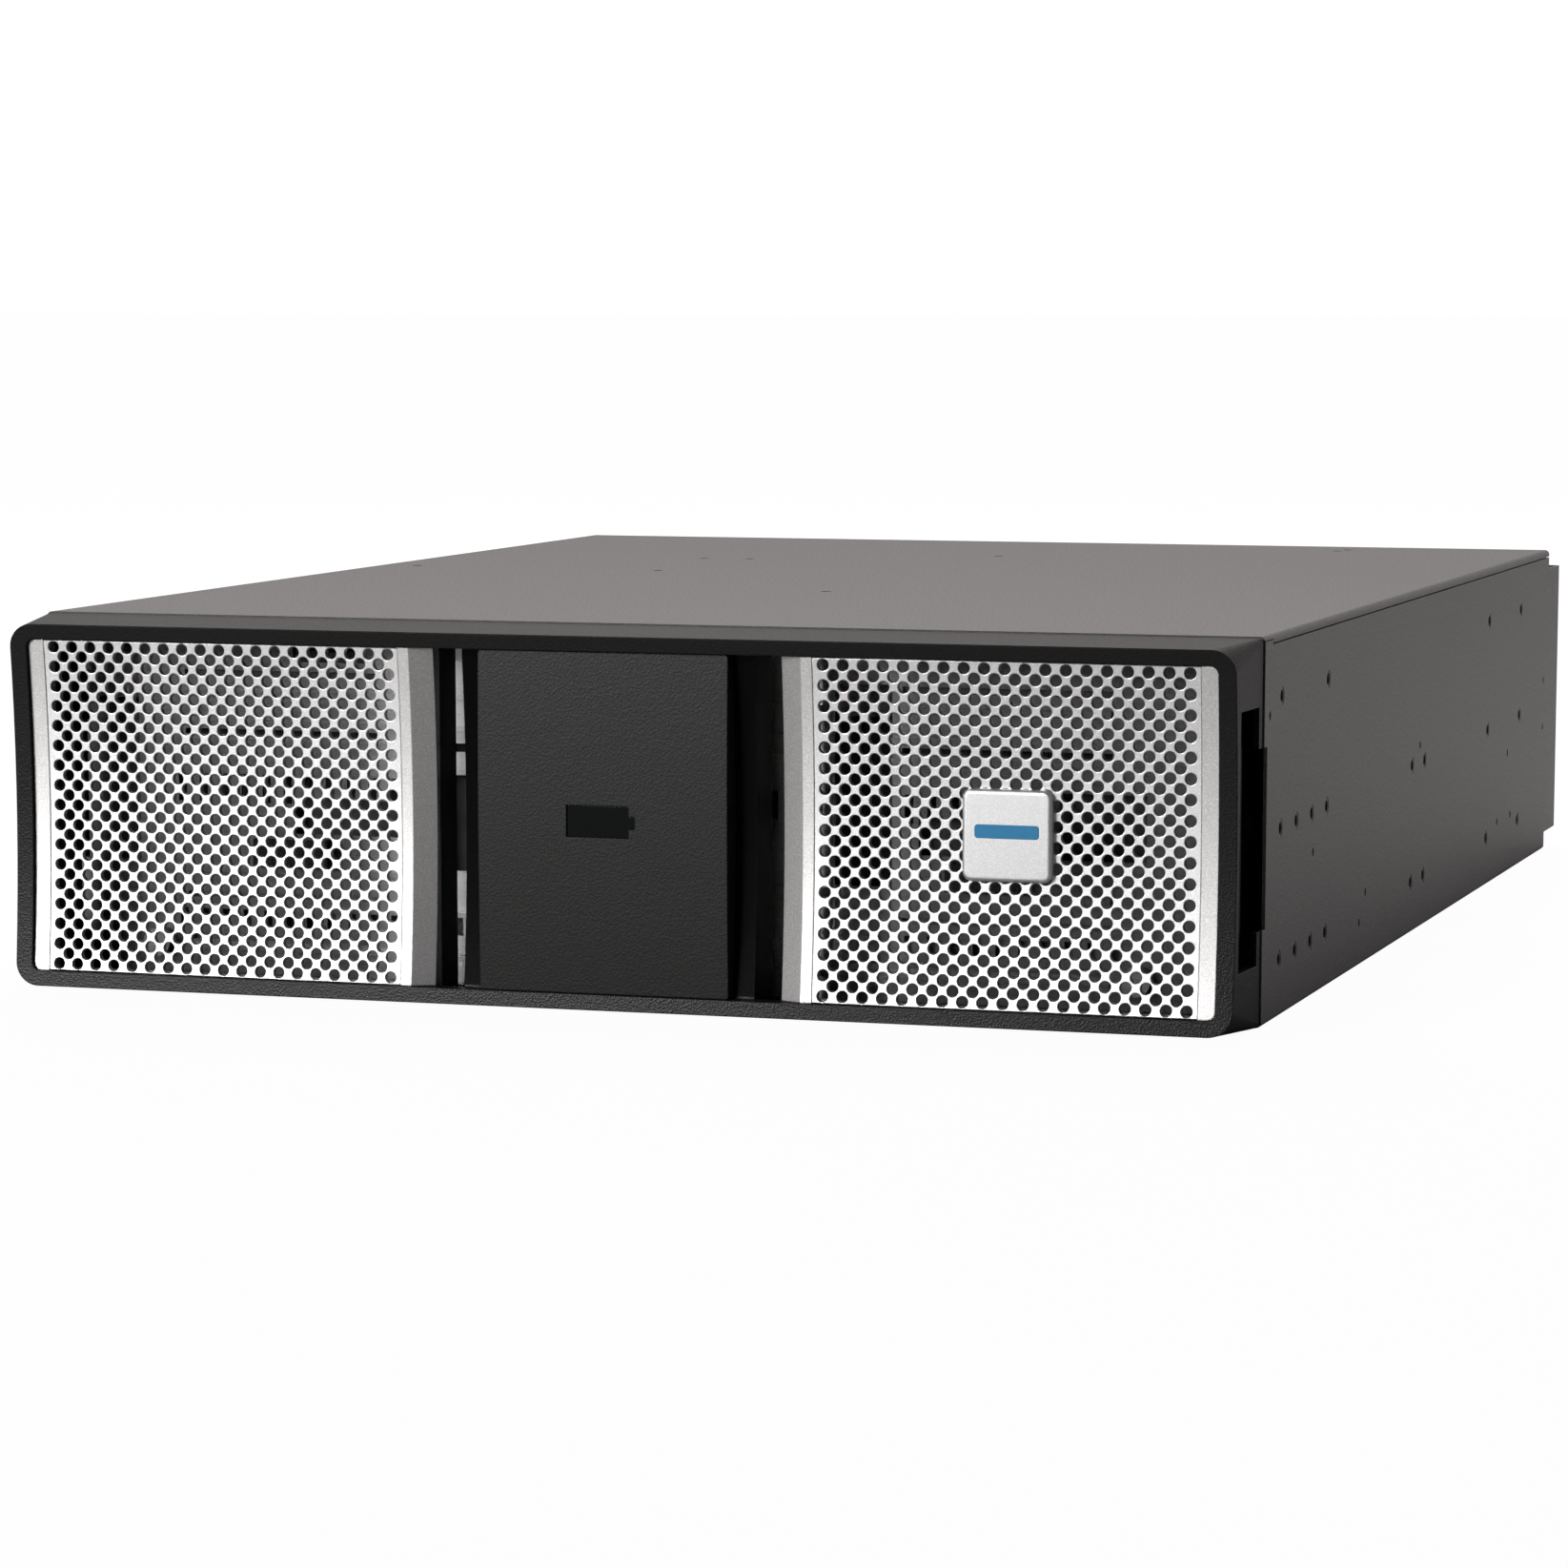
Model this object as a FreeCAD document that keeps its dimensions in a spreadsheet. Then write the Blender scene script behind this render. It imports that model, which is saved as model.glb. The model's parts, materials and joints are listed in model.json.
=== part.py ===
import FreeCAD, Part

# Three-unit rack battery module: a steel chassis with two slide-out battery trays behind a moulded bezel.
# The frame is millimetres, +Z up, +X to the right seen from the front, and the front faces -Y.
# The origin is the centre of the whole unit's footprint, on its underside.

import math
import os
import re

import Sketcher
from FreeCAD import Placement, Rotation, Vector

# ---------------------------------------------------------------------------------------------
# Driving dimensions, in millimetres and degrees.
# ---------------------------------------------------------------------------------------------
DIMENSIONS = [
    ("overall_width", 440, "chassis and bezel width, for a 19-inch rack"),
    ("overall_height", 130, "three rack units less the clearance"),
    ("overall_depth", 645, "bezel rim to the end of the rear guards"),
    ("bezel_depth", 35, "bezel rim to the front edge of the chassis"),
    ("guard_depth", 37, "rear guards beyond the chassis"),
    ("sheet", 1.2, "steel sheet of chassis, cover and rear panel"),
    ("seam_top", 126.8, "top edge of the chassis side walls"),
    ("post_depth", 11.8, "depth of the raised posts at the front of the side walls"),
    ("rack_unit", 44.45, "pitch of the side hole rows"),
    ("hole_pitch", 25.4, "pitch of the side holes along the depth"),
    ("hole_row", 19.65, "lowest row of side holes"),
    ("hole_front", 27.0, "first front side hole behind the chassis front"),
    ("hole_middle", 262.4, "first middle side hole behind the chassis front"),
    ("hole_rear", 426.4, "first rear side hole behind the chassis front"),
    ("nut_bore", 2.1, "radius of the threaded bore of a press nut"),
    ("nut_shank", 3.15, "radius of a press nut in the side wall"),
    ("rivet", 1.5, "radius of the small rivets in the side wall"),
    ("face_width", 436, "bezel rim width at its front"),
    ("face_height", 126.8, "bezel rim height at its front"),
    ("face_middle", 64.5, "height of the bezel face's middle"),
    ("face_corner", 8.5, "corner radius of the bezel rim"),
    ("face_hollow", 4.0, "how far the middle of the face is set back"),
    ("opening_width", 424, "clear width inside the rim"),
    ("opening_height", 116.3, "clear height inside the rim"),
    ("rim_back", 27.5, "back of the rim, before the chassis front"),
    ("wall", 2.4, "bezel moulding wall"),
    ("bezel_gap", 1.2, "gap between the bezel and the chassis"),
    ("bezel_step", 0.5, "how far the bezel's rear edge stays inside the chassis outline"),
    ("slot_low", 21.4, "lower end of the grip slot in the bezel's side"),
    ("slot_high", 107.2, "upper end of the grip slot"),
    ("slot_front", 28.0, "front of the grip slot, before the chassis front"),
    ("slot_back", 5.2, "rear of the grip slot's two ends"),
    ("notch_low", 32.5, "lower end of the finger notch in the side wall"),
    ("notch_high", 93.4, "upper end of the finger notch"),
    ("notch_depth", 4.5, "depth of the finger notch"),
    ("module_inner", 62.2, "inner edge of a grille surround"),
    ("module_recess", 1.5, "grille surround behind the rim's surface"),
    ("module_back", 23.5, "back of a grille surround, before the chassis front"),
    ("chamfer_outer", 69.9, "outer edge of the surround's inner chamfer"),
    ("chamfer_drop", 3.5, "depth of the surround's inner chamfer"),
    ("mesh_inner", 73.8, "inner edge of a perforated sheet"),
    ("mesh_outer", 206.0, "outer edge of a perforated sheet"),
    ("mesh_sheet", 2.4, "perforated panel thickness"),
    ("mesh_face", 29.4, "perforated sheet's face, before the chassis front"),
    ("mesh_hole", 2.02, "radius of a perforation"),
    ("mesh_pitch", 6.93, "perforation pitch along a row and across two rows"),
    ("mesh_rows", 33, "rows of perforations"),
    ("badge_size", 30.6, "side of the square badge"),
    ("badge_middle", 141.0, "badge centre from the unit's centre plane"),
    ("badge_proud", 3.2, "badge thickness in front of the perforated sheet"),
    ("cover_half", 44.5, "half width of the centre cover"),
    ("cover_proud", 33.7, "centre cover face before the chassis front"),
    ("cover_curve", 1700, "radius of the centre cover's bowed face"),
    ("cover_back", 10.0, "rear edge of the centre cover, before the chassis front"),
    ("rib_inner", 44.9, "inner face of the ribs beside the centre cover"),
    ("rib_outer", 52.2, "outer face of the ribs beside the centre cover"),
    ("rib_setback", 6.3, "rib face behind the rim's surface"),
    ("rib_back", 8.0, "rear edge of the ribs, before the chassis front"),
    ("tray_inner", 12.0, "inner wall of a battery tray"),
    ("tray_outer", 211.0, "outer wall of a battery tray"),
    ("tray_step", 56.6, "inner wall of the tray's narrow rear part"),
    ("tray_front", 6.0, "front of a battery tray behind the chassis front"),
    ("tray_notch", 468.0, "start of the tray's narrow rear part"),
    ("tray_back", 536.0, "rear of a battery tray"),
    ("tray_floor", 2.0, "underside of a battery tray"),
    ("tray_wall", 40.0, "height of the battery tray's wall"),
    ("battery_length", 151, "12 V 9 Ah block, along its length"),
    ("battery_width", 65, "12 V 9 Ah block, across"),
    ("battery_case", 88, "12 V 9 Ah block, height of the case"),
    ("battery_lid", 6, "12 V 9 Ah block, height of the lid"),
    ("case_wall", 2.5, "12 V 9 Ah block, wall of the case"),
    ("core_height", 39, "height of the lead plate packs, solid as iron, for the right mass"),
    ("battery_gap", 1.0, "gap between neighbouring blocks"),
    ("tab_height", 6.0, "height of a block's terminal tab"),
    ("plate_front", 2.0, "front plate of a tray behind the chassis front"),
    ("plug_height", 32, "battery plug and socket housings"),
    ("plug_half", 8, "half thickness of the battery plug and socket"),
    ("plug_low", 50, "height of the right tray's plug centre"),
    ("plug_high", 88, "height of the left tray's plug centre"),
    ("socket_front", 22, "mating face of the sockets behind the chassis front"),
    ("socket_length", 36, "length of a socket"),
    ("breaker_x", 34.0, "centre of the circuit breaker"),
    ("breaker_z", 64.0, "height of the breaker's handle pivot"),
    ("breaker_half", 17.8, "half width of the circuit breaker"),
    ("breaker_depth", 58, "circuit breaker behind the rear panel"),
    ("breaker_pin", 1.5, "radius of the breaker handle's pin"),
    ("outlet_first", 105, "nearer DC connector from the centre plane"),
    ("outlet_pitch", 70, "distance between the two DC connectors"),
    ("outlet_z", 64, "height of the DC connectors"),
    ("socket_z", 96, "height of the detection sockets"),
]
# Places worked out from the cells, by name.
DERIVED = {
    "front_y": "(bezel_depth - overall_depth / 2)",
    "rear_y": "(overall_depth / 2 - guard_depth)",
    "half": "(overall_width / 2)",
    "face_low": "(face_middle - face_height / 2)",
    "face_high": "(face_middle + face_height / 2)",
    "open_low": "(face_middle - opening_height / 2)",
    "open_high": "(face_middle + opening_height / 2)",
    "curve": "((face_height ^ 2 / 4 + face_hollow ^ 2) / (2 * face_hollow))",
    "curve_y": "(face_hollow - overall_depth / 2 - curve)",
    "block_low": "(tray_floor + sheet)",
    "block_top": "(tray_floor + sheet + battery_case + battery_lid)",
    "first_row": "(front_y + tray_front + sheet + 2)",
}

doc = FreeCAD.newDocument("rack_battery")
sheet = doc.addObject("Spreadsheet::Sheet", "Dims")
for row, (alias, size, note) in enumerate(DIMENSIONS, 1):
    sheet.set(f"A{row}", alias)
    sheet.set(f"B{row}", str(size))
    sheet.set(f"C{row}", note)
    sheet.setAlias(f"B{row}", alias)
doc.recompute()
ALIASES = {alias for alias, size, note in DIMENSIONS}


# ---------------------------------------------------------------------------------------------
# Helpers. A size or place is a formula over the sheet's cells, or a plain number.
# ---------------------------------------------------------------------------------------------
def spelled(formula, prefix="Dims."):
    """The formula with every derived name written out and every cell name made a reference."""
    text = str(formula)
    for _ in range(3):
        text = re.sub(r"[a-z_]+", lambda word: DERIVED.get(word.group(), word.group()), text)
    return re.sub(r"[a-z_]+", lambda word: prefix * (word.group() in ALIASES) + word.group(), text)


def value(formula):
    """The formula's value as a plain number."""
    return float(sheet.evalExpression(spelled(formula, "")))


def point(*formulas):
    return Vector(*[value(f) for f in formulas])


def bind(thing, prop, formula):
    thing.setExpression(prop, spelled(formula))


def put(thing, corner, rotation=None):
    """Binds the thing's place to three formulas, after an optional turn."""
    if rotation:
        thing.Placement = Placement(Vector(), rotation)
    for axis, formula in zip("xyz", corner):
        bind(thing, "Placement.Base." + axis, formula)
    return thing


def box(name, low, size):
    thing = doc.addObject("Part::Box", name)
    for prop, formula in zip(("Length", "Width", "Height"), size):
        bind(thing, prop, formula)
    return put(thing, low)


TURNS = {
    "x": Rotation(Vector(0, 1, 0), 90),
    "y": Rotation(Vector(1, 0, 0), -90),
    "z": None,
}


def cylinder(name, start, radius, length, along):
    thing = doc.addObject("Part::Cylinder", name)
    bind(thing, "Radius", radius)
    bind(thing, "Height", length)
    return put(thing, start, TURNS[along])


def boolean(kind, name, base, tool):
    thing = doc.addObject(kind, name)
    thing.Base, thing.Tool = base, tool
    return thing


def fused(name, *parts):
    thing = doc.addObject("Part::MultiFuse", name)
    thing.Shapes = list(parts)
    return thing


def group(name, *parts):
    thing = doc.addObject("Part::Compound", name)
    thing.Links = list(parts)
    return thing


def cut(name, base, *tools):
    tool = tools[0] if len(tools) == 1 else group(name + "_tools", *tools)
    return boolean("Part::Cut", name, base, tool)


def shared(name, base, tool):
    return boolean("Part::Common", name, base, tool)


def mirrored(name, source):
    """The same piece on the other side of the centre plane."""
    thing = doc.addObject("Part::Mirroring", name)
    thing.Source = source
    thing.Normal = Vector(1, 0, 0)
    return thing


def feature(name, shape, place=None):
    """A piece whose shape comes from Part's own functions."""
    thing = doc.addObject("Part::Feature", name)
    thing.Shape = shape
    thing.Placement = place or Placement()
    return thing


ROUND_CORNERS = 2


def tube(points, radius):
    """A round cable through the points, rounded where it turns."""
    path = Part.makePolygon(points)
    ring = Part.Wire(Part.makeCircle(radius, points[0], points[1] - points[0]))
    return path.makePipeShell([ring], True, True, ROUND_CORNERS)


def arch(start, crest, end, radius):
    """A round cable along the arc through three points."""
    bow = Part.Arc(start, crest, end)
    ring = Part.Wire(Part.makeCircle(radius, start, bow.tangent(bow.FirstParameter)[0]))
    return Part.Wire(bow.toShape()).makePipeShell([ring], True, True)


def pin(made, kind, where, formula):
    """Adds one dimension to a sketch and binds it to the sheet."""
    index = made.addConstraint(Sketcher.Constraint(kind, *where, value(formula)))
    made.setExpression(f"Constraints[{index}]", spelled(formula))


class Sketched:
    """A PartDesign body that is built up sketch by sketch."""

    def __init__(self, label):
        self.body = doc.addObject("PartDesign::Body", label)
        self.body.AllowCompound = True
        self.count = 0

    def sketch(self, role, offset, loops=(), circles=()):
        """A sketch on an origin plane moved by offset, holding closed loops and circles given as formulas."""
        self.count += 1
        plane = next(f for f in self.body.Origin.OriginFeatures if f.Role == role)
        made = self.body.newObject("Sketcher::SketchObject", f"{self.body.Name}_sketch_{self.count}")
        made.AttachmentSupport = [(plane, "")]
        made.MapMode = "FlatFace"
        bind(made, "AttachmentOffset.Base.z", offset)
        for loop in loops:
            self.loop(made, loop)
        for centre, radius in circles:
            self.circle(made, centre, radius)
        return made

    def loop(self, made, corners):
        spots = [point(u, v, 0) for u, v in corners]
        first = made.GeometryCount
        for start, end in zip(spots, spots[1:] + spots[:1]):
            made.addGeometry(Part.LineSegment(start, end))
        for i, (u, v) in enumerate(corners):
            here = first + i
            before = first + (i - 1) % len(corners)
            made.addConstraint(Sketcher.Constraint("Coincident", before, 2, here, 1))
            for kind, formula in (("DistanceX", u), ("DistanceY", v)):
                pin(made, kind, (-1, 1, here, 1), formula)

    def rounded(self, made, left, right, low, high, radius):
        """A rectangle with its four corners rounded."""
        west, east, south, north, turn = (value(f) for f in (left, right, low, high, radius))
        centres = [(east - turn, south + turn), (east - turn, north - turn),
                   (west + turn, north - turn), (west + turn, south + turn)]
        for quarter, (u, v) in enumerate(centres):
            ring = Part.Circle(Vector(u, v, 0), Vector(0, 0, 1), turn)
            start = (quarter - 1) * math.pi / 2
            made.addGeometry(Part.ArcOfCircle(ring, start, start + math.pi / 2))
        for quarter in range(4):
            first = made.Geometry[quarter].EndPoint
            last = made.Geometry[(quarter + 1) % 4].StartPoint
            side = made.addGeometry(Part.LineSegment(first, last))
            made.addConstraint(Sketcher.Constraint("Tangent", quarter, 2, side, 1))
            made.addConstraint(Sketcher.Constraint("Tangent", side, 2, (quarter + 1) % 4, 1))
        for quarter in range(1, 4):
            made.addConstraint(Sketcher.Constraint("Equal", 0, quarter))
        made.addConstraint(Sketcher.Constraint("Vertical", 4))
        made.addConstraint(Sketcher.Constraint("Horizontal", 5))
        pin(made, "Radius", (0,), radius)
        pin(made, "DistanceX", (-1, 1, 4, 1), right)
        pin(made, "DistanceY", (-1, 1, 5, 1), high)
        pin(made, "DistanceX", (-1, 1, 6, 1), left)
        pin(made, "DistanceY", (-1, 1, 7, 1), low)

    def circle(self, made, centre, radius):
        spot = point(*centre, 0)
        index = made.addGeometry(Part.Circle(spot, Vector(0, 0, 1), value(radius)))
        for kind, formula in (("DistanceX", centre[0]), ("DistanceY", centre[1])):
            pin(made, kind, (-1, 1, index, 3), formula)
        pin(made, "Radius", (index,), radius)

    def pad(self, sketch, length, reverse=False):
        made = self.body.newObject("PartDesign::Pad", f"{self.body.Name}_pad_{self.count}")
        made.Profile = sketch
        bind(made, "Length", length)
        made.Reversed = reverse
        doc.recompute()
        return made

    def pocket(self, sketch, length, reverse=False, both=False):
        before = self.body.Shape.Volume
        made = self.body.newObject("PartDesign::Pocket", f"{self.body.Name}_pocket_{self.count}")
        made.Profile = sketch
        bind(made, "Length", length)
        made.Reversed = reverse
        made.Midplane = both
        doc.recompute()
        if made.Shape.Volume > before - 1e-3:
            raise RuntimeError(f"{made.Name} cuts nothing")
        return made

    def fillet(self, radius, wanted):
        """Rounds the edges of the tip that the wanted function picks."""
        tip = self.body.Tip
        names = [f"Edge{i}" for i, e in enumerate(tip.Shape.Edges, 1) if wanted(e)]
        made = self.body.newObject("PartDesign::Fillet", f"{self.body.Name}_fillet_{self.count}")
        made.Base = (tip, names)
        bind(made, "Radius", radius)
        doc.recompute()
        return made

    def array(self, feature_, sketch, length, count):
        """Repeats a feature in a row along the sketch's horizontal."""
        made = self.body.newObject("PartDesign::LinearPattern", f"{self.body.Name}_row_{self.count}")
        made.Originals = [feature_]
        made.Direction = (sketch, ["H_Axis"])
        bind(made, "Length", length)
        made.Occurrences = count
        self.body.Tip = made
        doc.recompute()
        return made


def parallel(edge, x, y, z):
    """Whether an edge is straight and runs along the given direction."""
    straight = edge.Curve.TypeId == "Part::GeomLine"
    return straight and abs(edge.tangentAt(edge.FirstParameter) * Vector(x, y, z)) > 0.99


def rectangle(left, right, low, high):
    return [(left, low), (right, low), (right, high), (left, high)]


def both_sides(name, right):
    """A node made of a piece and its mirror image."""
    return group(name, right, mirrored(name + "_left", right))


# ---------------------------------------------------------------------------------------------
# Chassis: folded steel tray, cover, rear panel, guards and their fasteners.
# ---------------------------------------------------------------------------------------------
def nut_grid(first, columns, rows):
    """Press-nut centres on the rack grid, as formulas for depth and height."""
    return [
        (f"front_y + {first} + {column} * hole_pitch", f"hole_row + {row} * rack_unit")
        for column in columns for row in rows
    ]


NUT_PLACES = (
    nut_grid("hole_front", range(4), range(2)) + nut_grid("hole_front", (0, 3), (2,))
    + nut_grid("hole_middle", range(2), range(2)) + nut_grid("hole_rear", (0, 3), range(3))
)
# Small rivets in each side wall: depth behind the chassis front, and height.
RIVET_PLACES = [
    (8.1, 103.3), (80.6, 50.3), (163.8, 15.7), (174.5, 25.8), (277.7, 70.5),
    (452, 23.8), (475.1, 50.4), (483.9, 23.8), (563.4, 54.1), (563.4, 74.4),
]
# Flush studs in the top cover: from the centre plane, and behind the chassis front.
STUD_PLACES = [
    (-202.6, 312), (-97, 308), (-108, 400), (-88.6, 402),
    (9, 194), (5.5, 453.6), (134, 537.5), (136.6, 547.5),
]
# Across the rear panel: the screws under the cover's edge, the detection sockets, and the vent slots.
REAR_SCREWS = (-180, -60, 60, 180)
SOCKET_PLACES = (-46, -24)
VENT_COUNT = 13
# The two fuses, from the centre plane.
FUSES = (-41.5, -24.5)
# Screws in each tray's front plate, from the centre plane.
SCREW_PLACES = (30, 178)


def chassis_tray():
    steel = Sketched("chassis_tray")
    section = [
        ("-half", 0), ("half", 0), ("half", "seam_top"), ("half - sheet", "seam_top"),
        ("half - sheet", "sheet"), ("-half + sheet", "sheet"),
        ("-half + sheet", "seam_top"), ("-half", "seam_top"),
    ]
    steel.pad(steel.sketch("XZ_Plane", "-front_y", [section]), "rear_y - front_y", reverse=True)
    posts = [
        rectangle("half - sheet", "half", "front_y", "front_y + post_depth"),
        rectangle("-half", "-half + sheet", "front_y", "front_y + post_depth"),
    ]
    steel.pad(steel.sketch("XY_Plane", "seam_top", posts), 1.5)
    notch = rectangle("front_y - 1", "front_y + notch_depth", "notch_low", "notch_high")
    nuts = [(place, "nut_shank") for place in NUT_PLACES]
    rivets = [((f"front_y + {y}", z), "rivet") for y, z in RIVET_PLACES]
    steel.pocket(steel.sketch("YZ_Plane", "half + 1", [notch], nuts + rivets), "overall_width + 2")
    steel.fillet(1.5, lambda e: parallel(e, 0, 1, 0) and e.CenterOfMass.z < 0.1 and e.Length > 500)
    return steel.body


def top_cover():
    """The lid: its rounded sides close flush over the walls and its hidden flanges sit inside them."""
    steel = Sketched("top_cover")
    lip, flange = "seam_top + 0.5", "seam_top - 4"
    section = [
        ("-half", "overall_height"), ("-half", lip), ("-half + sheet + 0.2", lip),
        ("-half + sheet + 0.2", flange), ("-half + 2 * sheet + 0.2", flange),
        ("-half + 2 * sheet + 0.2", "overall_height - sheet"),
        ("half - 2 * sheet - 0.2", "overall_height - sheet"),
        ("half - 2 * sheet - 0.2", flange), ("half - sheet - 0.2", flange),
        ("half - sheet - 0.2", lip), ("half", lip), ("half", "overall_height"),
    ]
    steel.pad(steel.sketch("XZ_Plane", "-front_y", [section]), "rear_y - front_y", reverse=True)
    flange_back = rectangle("-half + 14", "half - 14", "rear_y - 2 * sheet - 0.1", "rear_y - sheet - 0.1")
    steel.pad(steel.sketch("XY_Plane", "overall_height - sheet", [flange_back]), 13, reverse=True)
    relief = [
        rectangle("half - sheet - 0.1", "half + 1", "front_y - 1", "front_y + post_depth + 0.4"),
        rectangle("-half - 1", "-half + sheet + 0.1", "front_y - 1", "front_y + post_depth + 0.4"),
    ]
    steel.pocket(steel.sketch("XY_Plane", "seam_top + 1.8", relief), 4)
    studs = [((x, f"front_y + {y}"), 2.0) for x, y in STUD_PLACES]
    steel.pocket(steel.sketch("XY_Plane", "overall_height + 1", [], studs), "sheet + 2")
    screws = [((x, "overall_height - 7"), 1.6) for x in REAR_SCREWS]
    steel.pocket(steel.sketch("XZ_Plane", "-rear_y + 4", [], screws), 12, both=True)
    top = value("overall_height") - 0.1
    steel.fillet(1.9, lambda e: parallel(e, 0, 1, 0) and e.CenterOfMass.z > top and e.Length > 500)
    return steel.body


def rear_panel():
    steel = Sketched("rear_panel")
    outline = rectangle("-half + 2.8", "half - 2.8", 1.4, "overall_height - sheet - 0.2")
    windows = [rectangle("breaker_x - breaker_half - 0.2", "breaker_x + breaker_half + 0.2",
                         "breaker_z - 22.7", "breaker_z + 22.7")]
    for k in range(2):
        middle = f"-outlet_first - {k} * outlet_pitch"
        windows.append(rectangle(middle + " - 25.2", middle + " + 25.2", "outlet_z - 9.2", "outlet_z + 9.2"))
    for x in SOCKET_PLACES:
        windows.append(rectangle(x - 7, x + 7, "socket_z - 6.8", "socket_z + 6.8"))
    screws = [((x, "overall_height - 7"), 2.0) for x in REAR_SCREWS] + [((-14, 20), 2.6)]
    steel.pad(steel.sketch("XZ_Plane", "-rear_y", [outline] + windows, screws), "sheet", reverse=False)
    sides = [
        rectangle("half - 2.8 - sheet", "half - 2.8", "rear_y - sheet - 10", "rear_y - sheet"),
        rectangle("-half + 2.8", "-half + 2.8 + sheet", "rear_y - sheet - 10", "rear_y - sheet"),
    ]
    steel.pad(steel.sketch("XY_Plane", 1.4, sides), 112)
    slots = [rectangle(92, 95, 20, 54), rectangle(92, 95, 74, 108)]
    vents = steel.sketch("XZ_Plane", "-rear_y - 1", slots)
    first = steel.pocket(vents, 8, both=True)
    steel.array(first, vents, 108, VENT_COUNT)
    return steel.body


def rear_guard():
    """A folded side plate that reaches behind the rear panel and keeps the cables from being crushed."""
    steel = Sketched("rear_guard_right")
    section = [
        ("half - sheet - 0.2", "rear_y - 22"), ("half - sheet - 0.2", "rear_y + guard_depth"),
        ("half - 10", "rear_y + guard_depth"), ("half - 10", "rear_y + guard_depth - sheet"),
        ("half - 2 * sheet - 0.2", "rear_y + guard_depth - sheet"), ("half - 2 * sheet - 0.2", "rear_y - 22"),
    ]
    steel.pad(steel.sketch("XY_Plane", 6.5, [section]), 115)
    rivets = [((f"front_y + {y}", z), "rivet") for y, z in RIVET_PLACES if y > 560]
    steel.pocket(steel.sketch("YZ_Plane", "half", [], rivets), 6)
    steel.fillet(1.1, lambda e: parallel(e, 0, 0, 1) and e.CenterOfMass.x > value("half - sheet - 0.3")
                 and e.CenterOfMass.y > value("rear_y + guard_depth") - 0.1)
    return steel.body


def press_nuts():
    """Self-clinching nuts, flush outside, that take the rack ears' and rails' screws."""
    nuts = Sketched("press_nut_row")
    rings = [(place, radius) for place in NUT_PLACES for radius in ("nut_shank", "nut_bore")]
    nuts.pad(nuts.sketch("YZ_Plane", "half - 0.15", [], rings), "sheet + 2.2", reverse=True)
    return both_sides("press_nuts", nuts.body)


def side_rivets():
    """Small tubular rivets, slightly sunk in the wall."""
    rivets = Sketched("side_rivet_row")
    rings = [((f"front_y + {y}", z), radius) for y, z in RIVET_PLACES for radius in ("rivet", 0.6)]
    rivets.pad(rivets.sketch("YZ_Plane", "half - 0.25", [], rings), "2 * sheet", reverse=True)
    return both_sides("side_rivets", rivets.body)


def cover_studs():
    studs = Sketched("cover_studs")
    circles = [((x, f"front_y + {y}"), 2.0) for x, y in STUD_PLACES]
    studs.pad(studs.sketch("XY_Plane", "overall_height - 0.2", [], circles), 6, reverse=True)
    return studs.body


def rear_screws():
    """Pan-head screws that hold the cover's rear flange to the panel."""
    screws = Sketched("rear_screws")
    heads = [((x, "overall_height - 7"), 3.6) for x in REAR_SCREWS]
    shanks = [((x, "overall_height - 7"), 1.5) for x in REAR_SCREWS]
    screws.pad(screws.sketch("XZ_Plane", "-rear_y", [], heads), 2.2, reverse=True)
    screws.pad(screws.sketch("XZ_Plane", "-rear_y", [], shanks), 6)
    slots = [rectangle(x - 2.4, x + 2.4, "overall_height - 7.5", "overall_height - 6.5") for x in REAR_SCREWS]
    screws.pocket(screws.sketch("XZ_Plane", "-rear_y - 1.2", slots), 3, reverse=True)
    return screws.body


def centre_divider():
    """An upright web between the two battery trays, with a foot folded under it."""
    web = Sketched("centre_divider")
    foot = rectangle(-0.6, 9.5, "front_y + 66", "front_y + 470")
    upright = rectangle(-0.6, 0.6, "front_y + 66", "front_y + 470")
    web.pad(web.sketch("XY_Plane", "sheet", [foot]), "sheet")
    web.pad(web.sketch("XY_Plane", "2 * sheet", [upright]), 108)
    holes = [((f"front_y + 120 + {k} * 75", 62), 24) for k in range(5)]
    web.pocket(web.sketch("YZ_Plane", 0, [], holes), 6, both=True)
    return web.body


# ---------------------------------------------------------------------------------------------
# Electrical parts that stay in the chassis.
# ---------------------------------------------------------------------------------------------
PLUGS = (("right", "plug_low", 1), ("left", "plug_high", -1))


def front_sockets():
    """Two-pole sockets that the trays' plugs leave when a tray slides out."""
    housings = []
    for side, height, _ in PLUGS:
        corner = ("-plug_half", "front_y + socket_front", height + " - plug_height / 2")
        shell = box(f"socket_shell_{side}", corner, ("2 * plug_half", "socket_length", "plug_height"))
        bores = []
        for pole, offset in (("upper", 8), ("lower", -8)):
            start = (0, "front_y + socket_front - 1", f"{height} + {offset}")
            bores.append(cylinder(f"socket_bore_{side}_{pole}", start, 4.5, 22, "y"))
        housings.append(cut(f"socket_housing_{side}", shell, *bores))
    return group("front_sockets", *housings)


def socket_bracket():
    """A plated plate beside the sockets, with a foot on the chassis floor."""
    plate = Sketched("socket_bracket")
    outline = [
        ("-plug_half - sheet", "sheet"), ("plug_half", "sheet"), ("plug_half", "2 * sheet"),
        ("-plug_half", "2 * sheet"), ("-plug_half", 106), ("-plug_half - sheet", 106),
    ]
    plate.pad(plate.sketch("XZ_Plane", "-front_y - 24", [outline]), 34, reverse=True)
    return plate.body


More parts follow.
